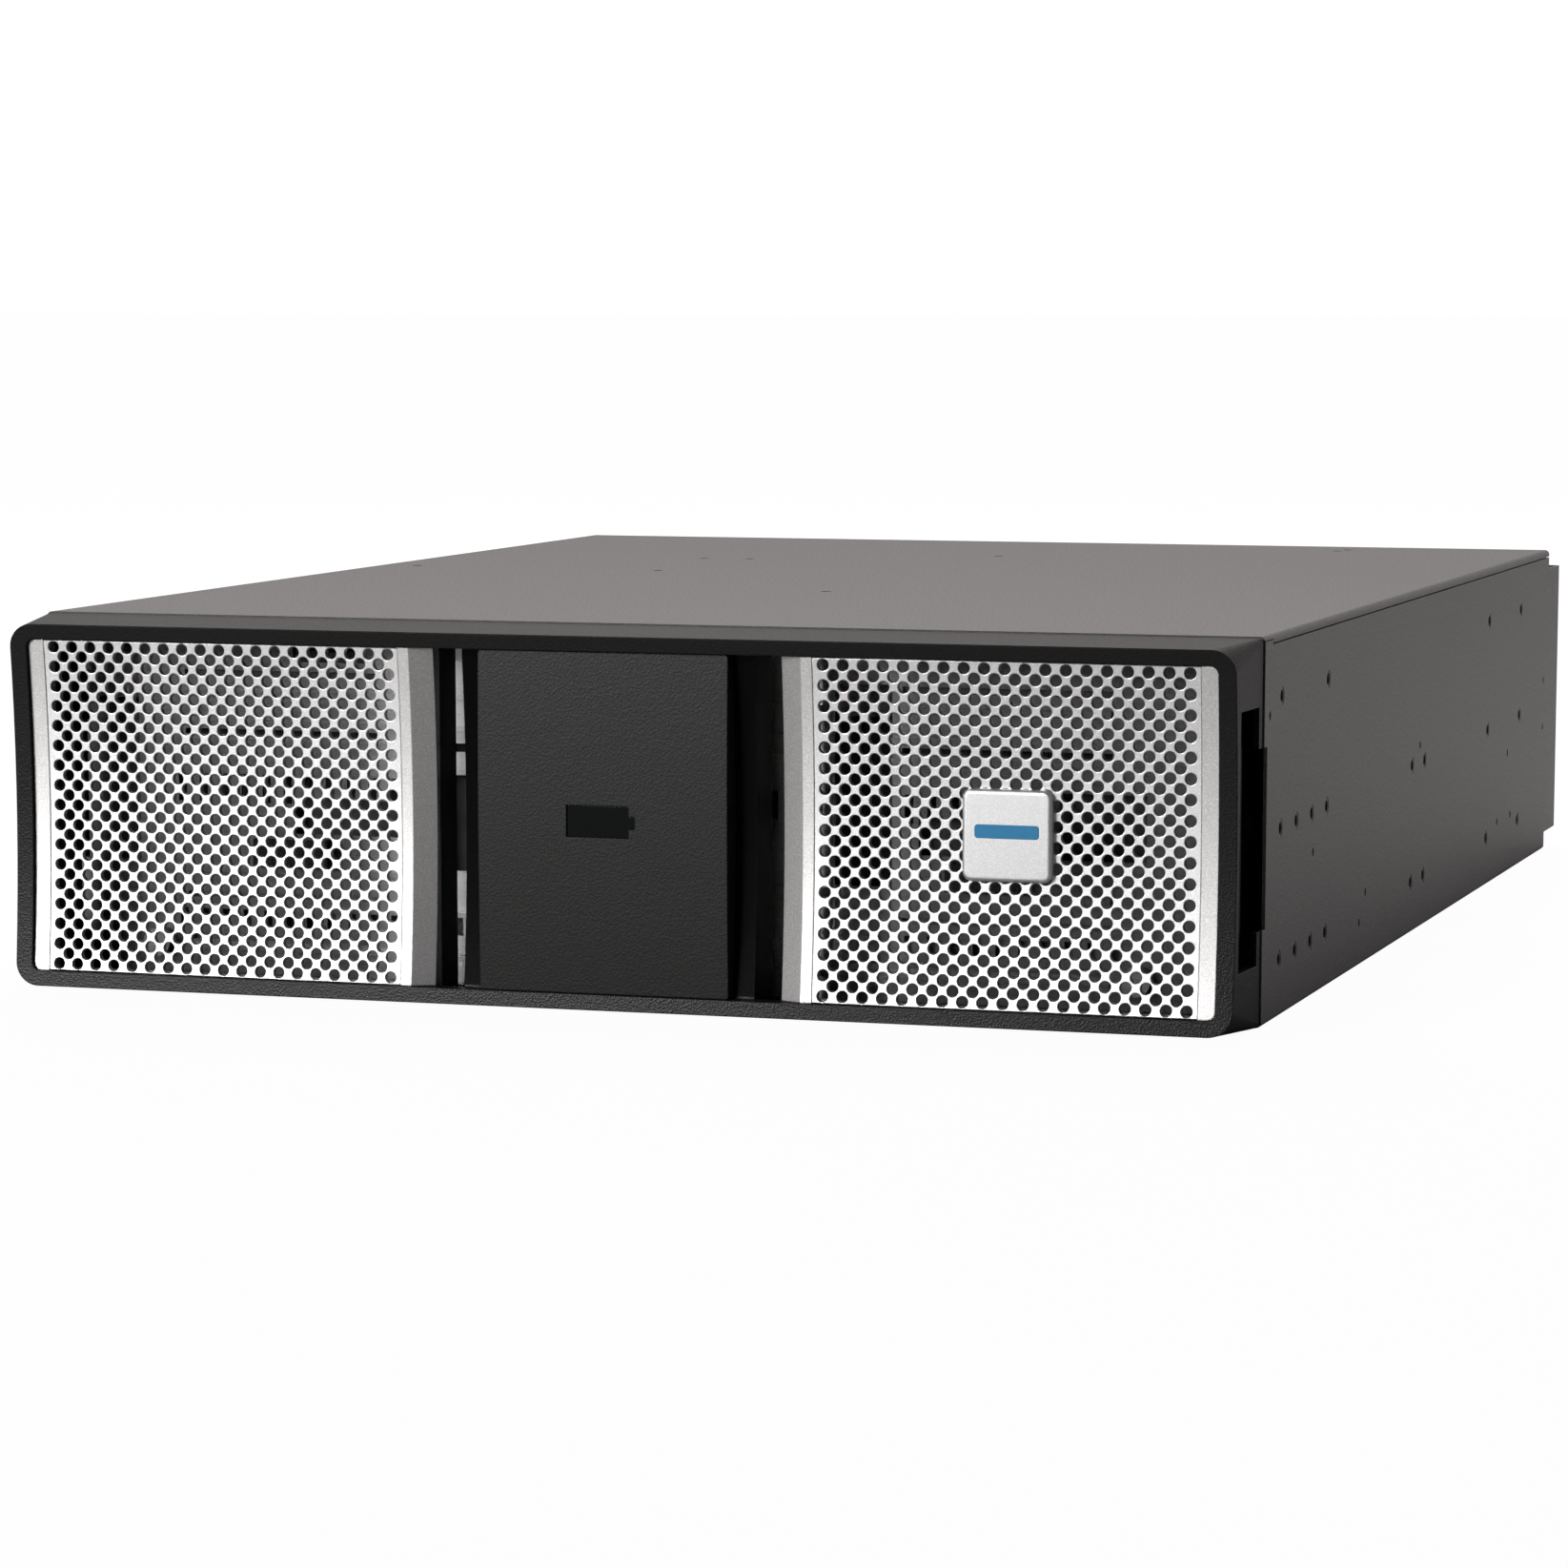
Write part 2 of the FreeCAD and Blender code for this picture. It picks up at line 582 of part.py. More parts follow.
def circuit_breaker():
    corner = ("breaker_x - breaker_half", "rear_y - sheet - breaker_depth", "breaker_z - 42")
    main = box("breaker_main", corner, ("2 * breaker_half", "breaker_depth", 84))
    nose = box("breaker_nose", ("breaker_x - breaker_half", "rear_y - sheet - 2", "breaker_z - 22.5"),
               ("2 * breaker_half", "sheet + 6", 45))
    drum = cylinder("breaker_drum_room", ("breaker_x - 12.4", "rear_y - 1", "breaker_z"), 8, 24.8, "x")
    start = ("breaker_x - 15", "rear_y - 1", "breaker_z")
    pin_hole = cylinder("breaker_pin_hole", start, "breaker_pin", 30, "x")
    return cut("breaker_body", fused("breaker_blank", main, nose), drum, pin_hole)


def breaker_handle():
    """The tied handle of both poles, standing up in its on position."""
    drum = cylinder("handle_drum", ("breaker_x - 12", "rear_y - 1", "breaker_z"), 7.4, 24, "x")
    lever = doc.addObject("Part::Box", "handle_lever")
    lever.Length, lever.Width, lever.Height = 24, 18, 5
    tilt = Rotation(Vector(1, 0, 0), 20)
    start = point("breaker_x - 12", "rear_y - 1", "breaker_z") + tilt.multVec(Vector(0, 2, -2.5))
    lever.Placement = Placement(start, tilt)
    bored = ("breaker_x - 13", "rear_y - 1", "breaker_z")
    bore = cylinder("handle_bore", bored, "breaker_pin + 0.2", 26, "x")
    return cut("breaker_handle", fused("handle_blank", drum, lever), bore)


def breaker_pin():
    return cylinder("breaker_pin", ("breaker_x - 15", "rear_y - 1", "breaker_z"), "breaker_pin", 30, "x")


def dc_connectors():
    """Two power connectors, each with a flange outside the rear panel and two contact rooms."""
    units = []
    for k in range(2):
        middle = f"-outlet_first - {k} * outlet_pitch"
        shell = box(f"outlet_shell_{k}", (middle + " - 25", "rear_y - 26", "outlet_z - 9"), (50, 30, 18))
        flange = box(f"outlet_flange_{k}", (middle + " - 31", "rear_y", "outlet_z - 12"), (62, 3, 24))
        rooms = []
        for pole, x in (("left", -21), ("right", 2)):
            corner = (f"{middle} + {x}", "rear_y - 18", "outlet_z - 6.5")
            rooms.append(box(f"outlet_room_{k}_{pole}", corner, (19, 24, 13)))
        units.append(cut(f"outlet_{k}", fused(f"outlet_blank_{k}", shell, flange), *rooms))
    return group("dc_connectors", *units)


def dc_contacts():
    """Silvered contact blades inside the DC connectors."""
    blades = []
    for k in range(2):
        for pole, x in (("left", -16), ("right", 7)):
            place = (f"-outlet_first - {k} * outlet_pitch + {x}", "rear_y - 18", "outlet_z - 1.5")
            blades.append(box(f"outlet_blade_{k}_{pole}", place, (9, 6, 3)))
    return group("dc_contacts", *blades)


def detection_sockets():
    jacks = []
    for k, x in enumerate(SOCKET_PLACES):
        shell = box(f"jack_shell_{k}", (x - 6.8, "rear_y - 16", "socket_z - 6.6"), (13.6, 16.4, 13.2))
        mouth = box(f"jack_mouth_{k}", (x - 5, "rear_y - 11", "socket_z - 3.5"), (10, 14, 8))
        jacks.append(cut(f"jack_{k}", shell, mouth))
    return group("detection_sockets", *jacks)


def detection_board():
    low, high = min(SOCKET_PLACES), max(SOCKET_PLACES)
    board = box("board_sheet", (low - 10, "rear_y - 46", "socket_z - 8.2"), (high - low + 20, 44, 1.6))
    chip = box("board_chip", (low + 4, "rear_y - 38", "socket_z - 6.6"), (9, 9, 2))
    return fused("detection_board", board, chip)


def fuse_block():
    """Two cartridge fuses in an open holder on the chassis floor."""
    base = box("fuse_base", (-50, "front_y + 486", "sheet"), (34, 62, 10))
    clips = [
        box(f"fuse_clip_{k}", (-50, f"front_y + {486 + 50 * k}", "sheet + 10"), (34, 12, 12)) for k in range(2)
    ]
    rooms = [
        cylinder(f"fuse_room_{k}", (x, "front_y + 480", "sheet + 19"), 7, 80, "y") for k, x in enumerate(FUSES)
    ]
    return cut("fuse_holder", fused("fuse_holder_blank", base, *clips), *rooms)


def fuses():
    return group("fuses", *[
        cylinder(f"fuse_{k}", (x, "front_y + 485", "sheet + 19"), 7, 64, "y") for k, x in enumerate(FUSES)
    ])


def ground_screw():
    screw = Sketched("ground_screw")
    screw.pad(screw.sketch("XZ_Plane", "-rear_y", [], [((-14, 20), 5)]), 4, reverse=True)
    screw.pad(screw.sketch("XZ_Plane", "-rear_y", [], [((-14, 20), 2.5)]), 9)
    return screw.body


def harness_cables(colour, side, ends):
    """One pole's two cables, from the front sockets over the divider to the electrical bay."""
    runs = []
    back = value("front_y + socket_front + socket_length")
    for (_, height, _), end, lane in zip(PLUGS, ends, (4, 9)):
        start = Vector(side * 4, back, value(height) + side * 8)
        level = 116
        line = [
            start, Vector(side * 4, back + 12, start.z), Vector(side * lane, back + 40, level),
            Vector(side * lane, value("front_y + tray_notch"), level),
            Vector(end[0].x, end[0].y, level), *end,
        ]
        runs.append(tube(line, 2.1))
    return feature(f"harness_{colour}", Part.makeCompound(runs))


# ---------------------------------------------------------------------------------------------
# Battery trays: both hold ten 12 V blocks in series; the left tray mirrors the right one.
# ---------------------------------------------------------------------------------------------
def block_places():
    """Corner and turn of the ten blocks: three rows of three along the depth, then one across."""
    places = []
    for row in range(3):
        for column in range(3):
            x = f"tray_inner + sheet + 0.4 + {column} * (battery_width + 0.4)"
            y = f"first_row + {row} * (battery_length + battery_gap)"
            places.append((x, y, False))
    x = "tray_outer - sheet - 0.4 - battery_length"
    places.append((x, "first_row + 3 * (battery_length + battery_gap)", True))
    return places


def battery_tray():
    steel = Sketched("battery_tray_right")
    for low, grow in (("tray_floor", "0"), ("tray_floor + sheet", "sheet")):
        outline = [
            (f"tray_inner + {grow}", f"front_y + tray_front + {grow}"),
            (f"tray_outer - {grow}", f"front_y + tray_front + {grow}"),
            (f"tray_outer - {grow}", f"front_y + tray_back - {grow}"),
            (f"tray_step + {grow}", f"front_y + tray_back - {grow}"),
            (f"tray_step + {grow}", f"front_y + tray_notch - {grow}"),
            (f"tray_inner + {grow}", f"front_y + tray_notch - {grow}"),
        ]
        if grow == "0":
            steel.pad(steel.sketch("XY_Plane", low, [outline]), "tray_wall")
        else:
            steel.pocket(steel.sketch("XY_Plane", low, [outline]), "tray_wall", reverse=True)
    screws = [((x, "tray_floor + 12"), 2.1) for x in SCREW_PLACES]
    steel.pocket(steel.sketch("XZ_Plane", "-front_y - tray_front", [], screws), 6, both=True)
    return steel.body


def battery_blocks(kind, low, height, inset, room=None):
    """One kind of box in each of a tray's ten blocks, all of one inset, with an open room if wanted."""
    blocks = []
    for k, (x, y, turned) in enumerate(block_places()):
        size = ("battery_length", "battery_width") if turned else ("battery_width", "battery_length")

        def part(name, margin, start, rise):
            return box(name, (f"{x} + {margin}", f"{y} + {margin}", start),
                       (f"{size[0]} - 2 * ({margin})", f"{size[1]} - 2 * ({margin})", rise))

        block = part(f"{kind}_{k}", inset, low, height)
        if room:
            block = cut(f"{kind}_open_{k}", block, part(f"{kind}_room_{k}", room, f"{low} + {room}", height))
        blocks.append(block)
    return group(f"battery_{kind}_right", *blocks)


def terminal_places():
    """Centres of the two terminal tabs of each block, in series order."""
    pairs = []
    for x, y, turned in block_places():
        if turned:
            pairs.append([(f"{x} + 14", f"{y} + {v}", turned) for v in (11, 54)])
        else:
            pairs.append([(f"{x} + {u}", f"{y} + 14", turned) for u in (11, 54)])
    return pairs


def battery_terminals():
    tabs = []
    for k, pair in enumerate(terminal_places()):
        for pole, (x, y, _) in enumerate(pair):
            corner = (f"{x} - 0.4", f"{y} - 3.15", "block_top")
            tabs.append(box(f"tab_{k}_{pole}", corner, (0.8, 6.3, "tab_height")))
    return group("battery_terminals_right", *tabs)


def link_cables():
    """Short links that join each block's second tab to the next block's first, arching over the lids."""
    top = value("block_top + tab_height")
    pairs = [[point(x, y, 0) for x, y, _ in pair] for pair in terminal_places()]
    links = []
    for (_, start), (end, _) in zip(pairs, pairs[1:]):
        rise = Vector(0, 0, top + 1.7)
        crest = (start + end) * 0.5 + Vector(0, 0, top + 8)
        links.append(arch(start + rise, crest, end + rise, 1.6))
    return feature("link_cables_right", Part.makeCompound(links))


def insulation_sheet():
    """A clear sheet, folded down at the front, that covers the terminals."""
    sheet_body = Sketched("insulation_sheet_right")
    section = [
        ("front_y + plate_front + sheet + 0.3", 100), ("front_y + plate_front + sheet + 0.8", 100),
        ("front_y + plate_front + sheet + 0.8", 117.5), ("front_y + tray_notch - 4", 117.5),
        ("front_y + tray_notch - 4", 118), ("front_y + plate_front + sheet + 0.3", 118),
    ]
    sheet_body.pad(sheet_body.sketch("YZ_Plane", "tray_inner + 4", [section]), "tray_outer - tray_inner - 8")
    return sheet_body.body


def front_plate(side, outer, *windows):
    """A plated plate that closes a tray's front, with slots, stiffening ribs, vents and lead holes."""
    sign = 1 if side == "right" else -1
    near_edge = "-front_y - plate_front"
    plate = Sketched(f"tray_front_plate_{side}")

    def span(near, far, low, high):
        ends = (near, far) if sign > 0 else (f"-({far})", f"-({near})")
        return rectangle(*ends, low, high)

    holes = [((sign * x, "tray_floor + 12"), 2.1) for x in SCREW_PLACES]
    levels = [f"{height} + {offset}" for height in ("plug_low", "plug_high") for offset in (7, -7)]
    holes += [((sign * 24, level), 3.2) for level in levels]
    outline = span("tray_inner + 2", outer, 3.4, 121)
    slots = [span(95, 168, level, level + 2) for level in (15, 30, 87.8, 108.5)]
    plate.pad(plate.sketch("XZ_Plane", near_edge, [outline] + slots, holes), "sheet", reverse=True)
    ribs = [span(40, 168, level, level + 2.4) for level in (11.4, 39, 84.1, 91, 101.4)]
    plate.pad(plate.sketch("XZ_Plane", near_edge, ribs), 1.6)
    first = 40 if sign > 0 else -171
    slits = [rectangle(first, first + 3, low, high) for low, high in ((20, 26), (64, 74))]
    vents = plate.sketch("XZ_Plane", near_edge, slits)
    plate.array(plate.pocket(vents, 8, both=True), vents, 128, 17)
    plate.pocket(plate.sketch("XZ_Plane", near_edge, [span(*window) for window in windows]), 8, both=True)
    return plate.body


def tray_screws():
    """Knurled screws that hold the front plate on the tray."""
    screws = Sketched("tray_screws_right")
    heads = [((x, "tray_floor + 12"), 5) for x in SCREW_PLACES]
    shanks = [((x, "tray_floor + 12"), 2) for x in SCREW_PLACES]
    screws.pad(screws.sketch("XZ_Plane", "-front_y - plate_front", [], heads), 6)
    screws.pad(screws.sketch("XZ_Plane", "-front_y - plate_front", [], shanks), 5.6, reverse=True)
    return screws.body


def pull_loop():
    """A webbing loop that the tray is pulled out by."""
    loop = Sketched("pull_loop_right")
    outer = [(112, -2), (112, -9), (140, -9), (140, -2), (138, -2), (138, -7.2), (114, -7.2), (114, -2)]
    shape = [(x, f"front_y + plate_front + {y + 2}") for x, y in outer]
    loop.pad(loop.sketch("XY_Plane", 42, [shape]), 10)
    return loop.body


def battery_plug(side, height):
    """The tray's two-pole plug, just clear of its socket."""
    shell = box(f"plug_shell_{side}", ("-plug_half", "front_y - 8", height + " - plug_height / 2"),
                ("2 * plug_half", "socket_front + 7.8", "plug_height"))
    bores = [cylinder(f"plug_bore_{side}_{pole}", (0, "front_y - 9", f"{height} + {offset}"), 3, 14, "y")
             for pole, offset in (("upper", 7), ("lower", -7))]
    return cut(f"battery_plug_{side}", shell, *bores)


def plug_leads(side, height, sign):
    """Two leads from the plug round to the inside of the tray's front plate."""
    leads = []
    for offset in (7, -7):
        level = value(height) + offset
        front = value("front_y")
        line = [
            Vector(0, front + 4, level), Vector(0, front - 10, level), Vector(sign * 9, front - 18, level),
            Vector(sign * 20, front - 12, level), Vector(sign * 24, front - 2, level),
            Vector(sign * 24, front + 5, level),
        ]
        leads.append(tube(line, 2.1))
    return feature(f"plug_leads_{side}", Part.makeCompound(leads))


# ---------------------------------------------------------------------------------------------
# Front bezel: a moulded frame with two silver grilles, a badge, and a removable centre cover.
# ---------------------------------------------------------------------------------------------
def rounded_block(label, depth, length, left, right, low, high, radius):
    """A block with rounded upright outline whose front is depth before the chassis front."""
    block = Sketched(label)
    sketch = block.sketch("XZ_Plane", f"-front_y + {depth}")
    block.rounded(sketch, left, right, low, high, radius)
    block.pad(sketch, length, reverse=True)
    return block


def tapered(label, rear, front):
    """A loft between two rounded rectangles, each given as (depth, half width, low, high, radius)."""
    shell = Sketched(label)
    ends = []
    for depth, reach, low, high, radius in (rear, front):
        sketch = shell.sketch("XZ_Plane", f"-front_y + {depth}")
        shell.rounded(sketch, f"-({reach})", reach, low, high, radius)
        ends.append(sketch)
    doc.recompute()
    loft = shell.body.newObject("PartDesign::AdditiveLoft", label + "_loft")
    loft.Profile = ends[0]
    loft.Sections = [ends[1]]
    loft.Ruled = True
    doc.recompute()
    return shell.body


def hollow(name, behind, low="-half - 5", length="overall_width + 10"):
    """The cylinder that gives the face its upright hollow, at a depth behind the rim's surface."""
    return cylinder(name, (low, "curve_y", "face_middle"), f"curve + {behind}", length, "x")


def bezel_frame():
    outer = tapered("bezel_outer", ("bezel_gap", "half - bezel_step", 0, "overall_height - bezel_step", 1.5),
                    ("bezel_depth", "face_width / 2", "face_low", "face_high", "face_corner"))
    inner = tapered("bezel_inner", ("bezel_gap - 1", "half - wall", "wall", "overall_height - wall", 1),
                    ("rim_back", "face_width / 2 - wall", "face_low + wall", "face_high - wall", 4))
    opening = rounded_block("bezel_opening", "bezel_depth + 1", 12, "-opening_width / 2", "opening_width / 2",
                            "open_low", "open_high", 3)
    shell = cut("bezel_shell", outer, inner, opening.body)
    bars = []
    for side, sign in (("right", 1), ("left", -1)):
        def upright(name, near, far, front, back):
            start = near if sign > 0 else f"-({far})"
            size = (f"{far} - ({near})", f"{front} - {back}", 127)
            return box(f"bezel_{name}_{side}", (start, f"front_y - {front}", 1.5), size)

        bars.append(upright("rib", "rib_inner", "rib_outer", 30, "rib_back"))
        bars.append(upright("wall", "module_inner", "module_inner + 2.2", "module_back", "rib_back"))
        bars.append(upright("pocket", "opening_width / 2 + 0.2", "opening_width / 2 + 2", 29, 6.5))
    for k, low in enumerate((14, 106)):
        corner = ("-rib_inner - 1", "front_y - 9.6", low)
        bars.append(box(f"bezel_rail_{k}", corner, ("2 * rib_inner + 2", 1.6, 8)))
    inside = shared("bezel_bars", fused("bezel_bars_all", *bars), outer)
    zone = box("rib_zone", ("-module_inner", "front_y - 40", "open_low"),
               ("2 * module_inner", 33, "opening_height"))
    hollowed = shared("rib_hollow", zone, hollow("rib_cylinder", "rib_setback"))
    trimmed = cut("bezel_bars_trimmed", inside, hollowed)
    slot = Sketched("grip_slot")
    outline = [
        ("front_y - slot_front", "slot_low"), ("front_y - slot_back", "slot_low"),
        ("front_y - slot_back", "notch_low"), ("front_y + 1", "notch_low"),
        ("front_y + 1", "notch_high"), ("front_y - slot_back", "notch_high"),
        ("front_y - slot_back", "slot_high"), ("front_y - slot_front", "slot_high"),
    ]
    slot.pad(slot.sketch("YZ_Plane", "opening_width / 2 + 2", [outline]), 12)
    slots = group("grip_slots", slot.body, mirrored("grip_slot_left", slot.body))
    frame = fused("bezel_whole", shell, trimmed)
    return cut("bezel_frame", frame, hollow("face_cylinder", 0), slots)


def grille_surround():
    """The silver frame of a grille: flat strips beside the perforated sheet and a slope towards the slot."""
    width = "opening_width / 2 - 0.2 - module_inner"
    front = box("surround_front", ("module_inner", "front_y - bezel_depth - 1", "open_low + 0.2"),
                (width, "bezel_depth + 1 - module_back", "opening_height - 0.4"))
    rounded = doc.addObject("Part::Fillet", "surround_rounded")
    doc.recompute()
    rounded.Base = front
    far = value("opening_width / 2 - 0.2")
    rounded.Edges = [(i, 2.8, 2.8) for i, e in enumerate(front.Shape.Edges, 1)
                     if parallel(e, 0, 1, 0) and abs(e.CenterOfMass.x - far) < 0.1]
    back = box("surround_back", ("module_inner", "front_y - rim_back", "open_low - 2.7"),
               (width, "rim_back - module_back", "opening_height + 5.4"))
    slope = doc.addObject("Part::Cone", "surround_slope")
    bind(slope, "Radius1", "curve + module_recess + chamfer_drop + 0.5")
    bind(slope, "Radius2", "curve + module_recess")
    run = "(chamfer_outer - module_inner) * (chamfer_drop + 0.5) / chamfer_drop"
    bind(slope, "Height", run)
    put(slope, ("chamfer_outer - " + run, "curve_y", "face_middle"), TURNS["x"])
    window = box("surround_window", ("mesh_inner", "front_y - bezel_depth - 2", "open_low + 0.2"),
                 ("mesh_outer - mesh_inner", "bezel_depth", "opening_height - 0.4"))
    body = fused("surround_blank", rounded, back)
    return cut("grille_surround_right", body, hollow("surround_cylinder", "module_recess"), slope, window)


def grille_mesh():
    """The perforated sheet: staggered round holes in rows that alternate by one hole."""
    left, right, low, high, level, pitch = (
        value(f) for f in ("mesh_inner + 0.3", "mesh_outer - 0.3", "open_low + 0.4", "open_high - 0.4",
                           "front_y - mesh_face", "mesh_pitch")
    )
    rows = int(value("mesh_rows"))
    per_row = round((right - left) / pitch)
    corners = [Vector(x, level, z) for x, z in rectangle(left, right, low, high)]
    wires = [Part.makePolygon(corners + corners[:1])]
    for row in range(rows):
        count = per_row - row % 2
        for k in range(count):
            centre = Vector((left + right) / 2 + (k - (count - 1) / 2) * pitch, level,
                            (low + high) / 2 + (row - (rows - 1) / 2) * pitch / 2)
            wires.append(Part.Wire(Part.makeCircle(value("mesh_hole"), centre, Vector(0, 1, 0))))
    face = Part.makeFace(wires, "Part::FaceMakerBullseye")
    return feature("grille_mesh_right", face.extrude(Vector(0, value("mesh_sheet"), 0)))


def badge_plate():
    middles = ("badge_middle", "face_middle + 0.4")
    spans = [f"{middle} {sign} badge_size / 2" for middle in middles for sign in "-+"]
    badge = rounded_block("badge_plate", "mesh_face + badge_proud", "badge_proud", *spans, 3)
    badge.fillet(1.3, lambda e: abs(e.CenterOfMass.y - value("front_y - mesh_face - badge_proud")) < 0.01)
    return badge.body


def bezel_clips():
    """Snap arms behind the bezel's sides that grip inside the chassis walls."""
    arms = []
    for k, low in enumerate((8, 110)):
        base = box(f"clip_base_{k}", ("half - 7", "front_y - 6", low), (4.1, 4, 12))
        arm = box(f"clip_arm_{k}", ("half - 7", "front_y - 6", low), (2.2, 16, 12))
        tooth = box(f"clip_tooth_{k}", ("half - 4.8", "front_y + 7", low), (2.6, 2, 12))
        arms.append(fused(f"clip_{k}", base, arm, tooth))
    return both_sides("bezel_clips", group("bezel_clips_right", *arms))


def centre_cover():
    """The removable cover between the grilles, a shallow box with a faintly bowed face."""
    low, high = "open_low + 0.2", "open_high - 0.2"
    outer = rounded_block("cover_outer", "cover_proud + 1", "cover_proud + 1 - cover_back",
                          "-cover_half", "cover_half", low, high, 1.2)
    inner = box("cover_inner", ("-cover_half + 2.2", "front_y - cover_proud + 3", low + " + 2.2"),
                ("2 * cover_half - 4.4", "cover_proud", "opening_height - 4.8"))
    bow = cylinder("cover_cylinder", ("-half", "front_y - cover_proud + cover_curve", "face_middle"),
                   "cover_curve", "overall_width", "x")
    return cut("centre_cover", shared("cover_bowed", outer.body, bow), inner, icon_block("icon_hole", 40, 20, 0))


def icon_block(label, depth, length, play):
    """A battery outline, used for the window in the centre cover and for the lens that fills it."""
    icon = Sketched(label)
    outline = [
        (-12.7 + play, 59.8 + play), (9.6 - play, 59.8 + play),
        (9.6 - play, 62.9 + play), (11.8 - play, 62.9 + play),
        (11.8 - play, 67.3 - play), (9.6 - play, 67.3 - play),
        (9.6 - play, 70.7 - play), (-12.7 + play, 70.7 - play),
    ]
    icon.pad(icon.sketch("XZ_Plane", f"-front_y + {depth}", [outline]), length, reverse=True)
    return icon.body


def cover_hooks():
    """Spring hooks inside the centre cover's two sides."""
    hooks = []
    for k, low in enumerate((24, 92)):
        leaf = box(f"hook_leaf_{k}", ("cover_half - 3.2", "front_y - 28", low), (1.0, 19, 12))
        barb = box(f"hook_barb_{k}", ("cover_half - 4.8", "front_y - 11", low), (1.6, 2, 12))
        hooks.append(fused(f"hook_{k}", leaf, barb))
    return both_sides("cover_hooks", group("cover_hooks_right", *hooks))


# ---------------------------------------------------------------------------------------------
# Build everything, check it and write one file for each node.
# ---------------------------------------------------------------------------------------------
def breaker_end(x):
    """A cable's last two points, turning into the front of the breaker."""
    face = value("rear_y - sheet - breaker_depth")
    return [Vector(x, face - 10, 96), Vector(x, face, 96)]


def fuse_end(x):
    """A cable's last point, on top of a fuse's cap."""
    return [Vector(x, value("front_y + 492"), value("sheet + 26.2"))]


nodes = [
    chassis_tray(), top_cover(), rear_panel(), press_nuts(), side_rivets(), cover_studs(), rear_screws(),
    centre_divider(), front_sockets(), socket_bracket(), circuit_breaker(), breaker_pin(), breaker_handle(),
    dc_connectors(), dc_contacts(), detection_sockets(), detection_board(),
    fuse_block(), fuses(), ground_screw(),
    harness_cables("red", 1, [breaker_end(25), breaker_end(43)]),
    harness_cables("black", -1, [fuse_end(x) for x in reversed(FUSES)]),
    bezel_frame(), badge_plate(), bezel_clips(), centre_cover(),
    icon_block("icon_window", "cover_proud - 0.7", 1.6, 0.1), cover_hooks(),
]
right_only = [
    rear_guard(), battery_tray(), battery_blocks("cases", "block_low", "battery_case", 0, "case_wall"),
    battery_blocks("cores", "block_low + case_wall", "core_height", "case_wall + 1.5"),
    battery_blocks("lids", "block_low + battery_case", "battery_lid", 0.6), battery_terminals(), link_cables(),
    insulation_sheet(), tray_screws(), pull_loop(), grille_surround(), grille_mesh(),
]
for right in right_only:
    nodes += [right, mirrored(right.Label.replace("right", "left"), right)]
for side, height, sign in PLUGS:
    nodes += [battery_plug(side, height), plug_leads(side, height, sign)]
nodes += [
    front_plate("right", "tray_outer - 1", (71, 91.5, 16, 111), (101, 128, 53.5, 66), (150, 180, 53.5, 76)),
    front_plate("left", 186, (60, 71, 13, 14.6), (60, 71, 28, 76), (60, 71, 84, 87),
                (83, 127, 53.5, 66), (100, 127, 114, 119)),
]

doc.recompute()
for thing in doc.Objects:
    if {"Invalid", "Error"} & set(thing.State):
        raise RuntimeError(f"{thing.Label}: {thing.State}")
for node in nodes:
    if node.Shape.isNull() or not node.Shape.isValid() or not node.Shape.Solids:
        raise RuntimeError(f"{node.Label} has no sound solid")

os.makedirs("parts", exist_ok=True)
for node in nodes:
    node.Shape.exportStep(f"parts/{node.Label}.step")
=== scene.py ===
import json
import math

import bpy
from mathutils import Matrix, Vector


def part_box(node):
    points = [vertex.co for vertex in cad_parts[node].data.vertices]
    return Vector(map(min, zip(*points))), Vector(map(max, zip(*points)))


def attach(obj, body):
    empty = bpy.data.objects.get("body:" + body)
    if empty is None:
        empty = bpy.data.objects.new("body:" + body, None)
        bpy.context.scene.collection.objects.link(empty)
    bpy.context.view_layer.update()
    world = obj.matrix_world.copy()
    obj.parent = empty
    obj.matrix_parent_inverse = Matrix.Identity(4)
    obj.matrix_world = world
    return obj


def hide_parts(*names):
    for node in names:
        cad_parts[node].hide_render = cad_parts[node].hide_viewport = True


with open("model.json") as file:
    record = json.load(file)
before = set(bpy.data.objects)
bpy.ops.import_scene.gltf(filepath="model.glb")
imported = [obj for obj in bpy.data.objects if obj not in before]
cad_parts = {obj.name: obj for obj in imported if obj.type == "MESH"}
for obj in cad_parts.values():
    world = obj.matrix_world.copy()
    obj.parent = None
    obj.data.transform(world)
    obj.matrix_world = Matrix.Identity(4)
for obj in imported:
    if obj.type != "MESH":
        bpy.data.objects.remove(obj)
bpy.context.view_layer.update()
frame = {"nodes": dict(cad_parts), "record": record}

MM = 0.001

FACE_MIDDLE = 64.5 * MM  # height of the bezel face's middle
RECESS_HALF_WIDTH = 60.5 * MM  # the recess round the centre cover
RECESS_HALF_HEIGHT = 57.2 * MM
PAINTED_LIGHT_EDGE = 68 * MM  # the painted light on the front plates' middle flanges ends here
PAINTED_LIGHT_FADE = 34 * MM


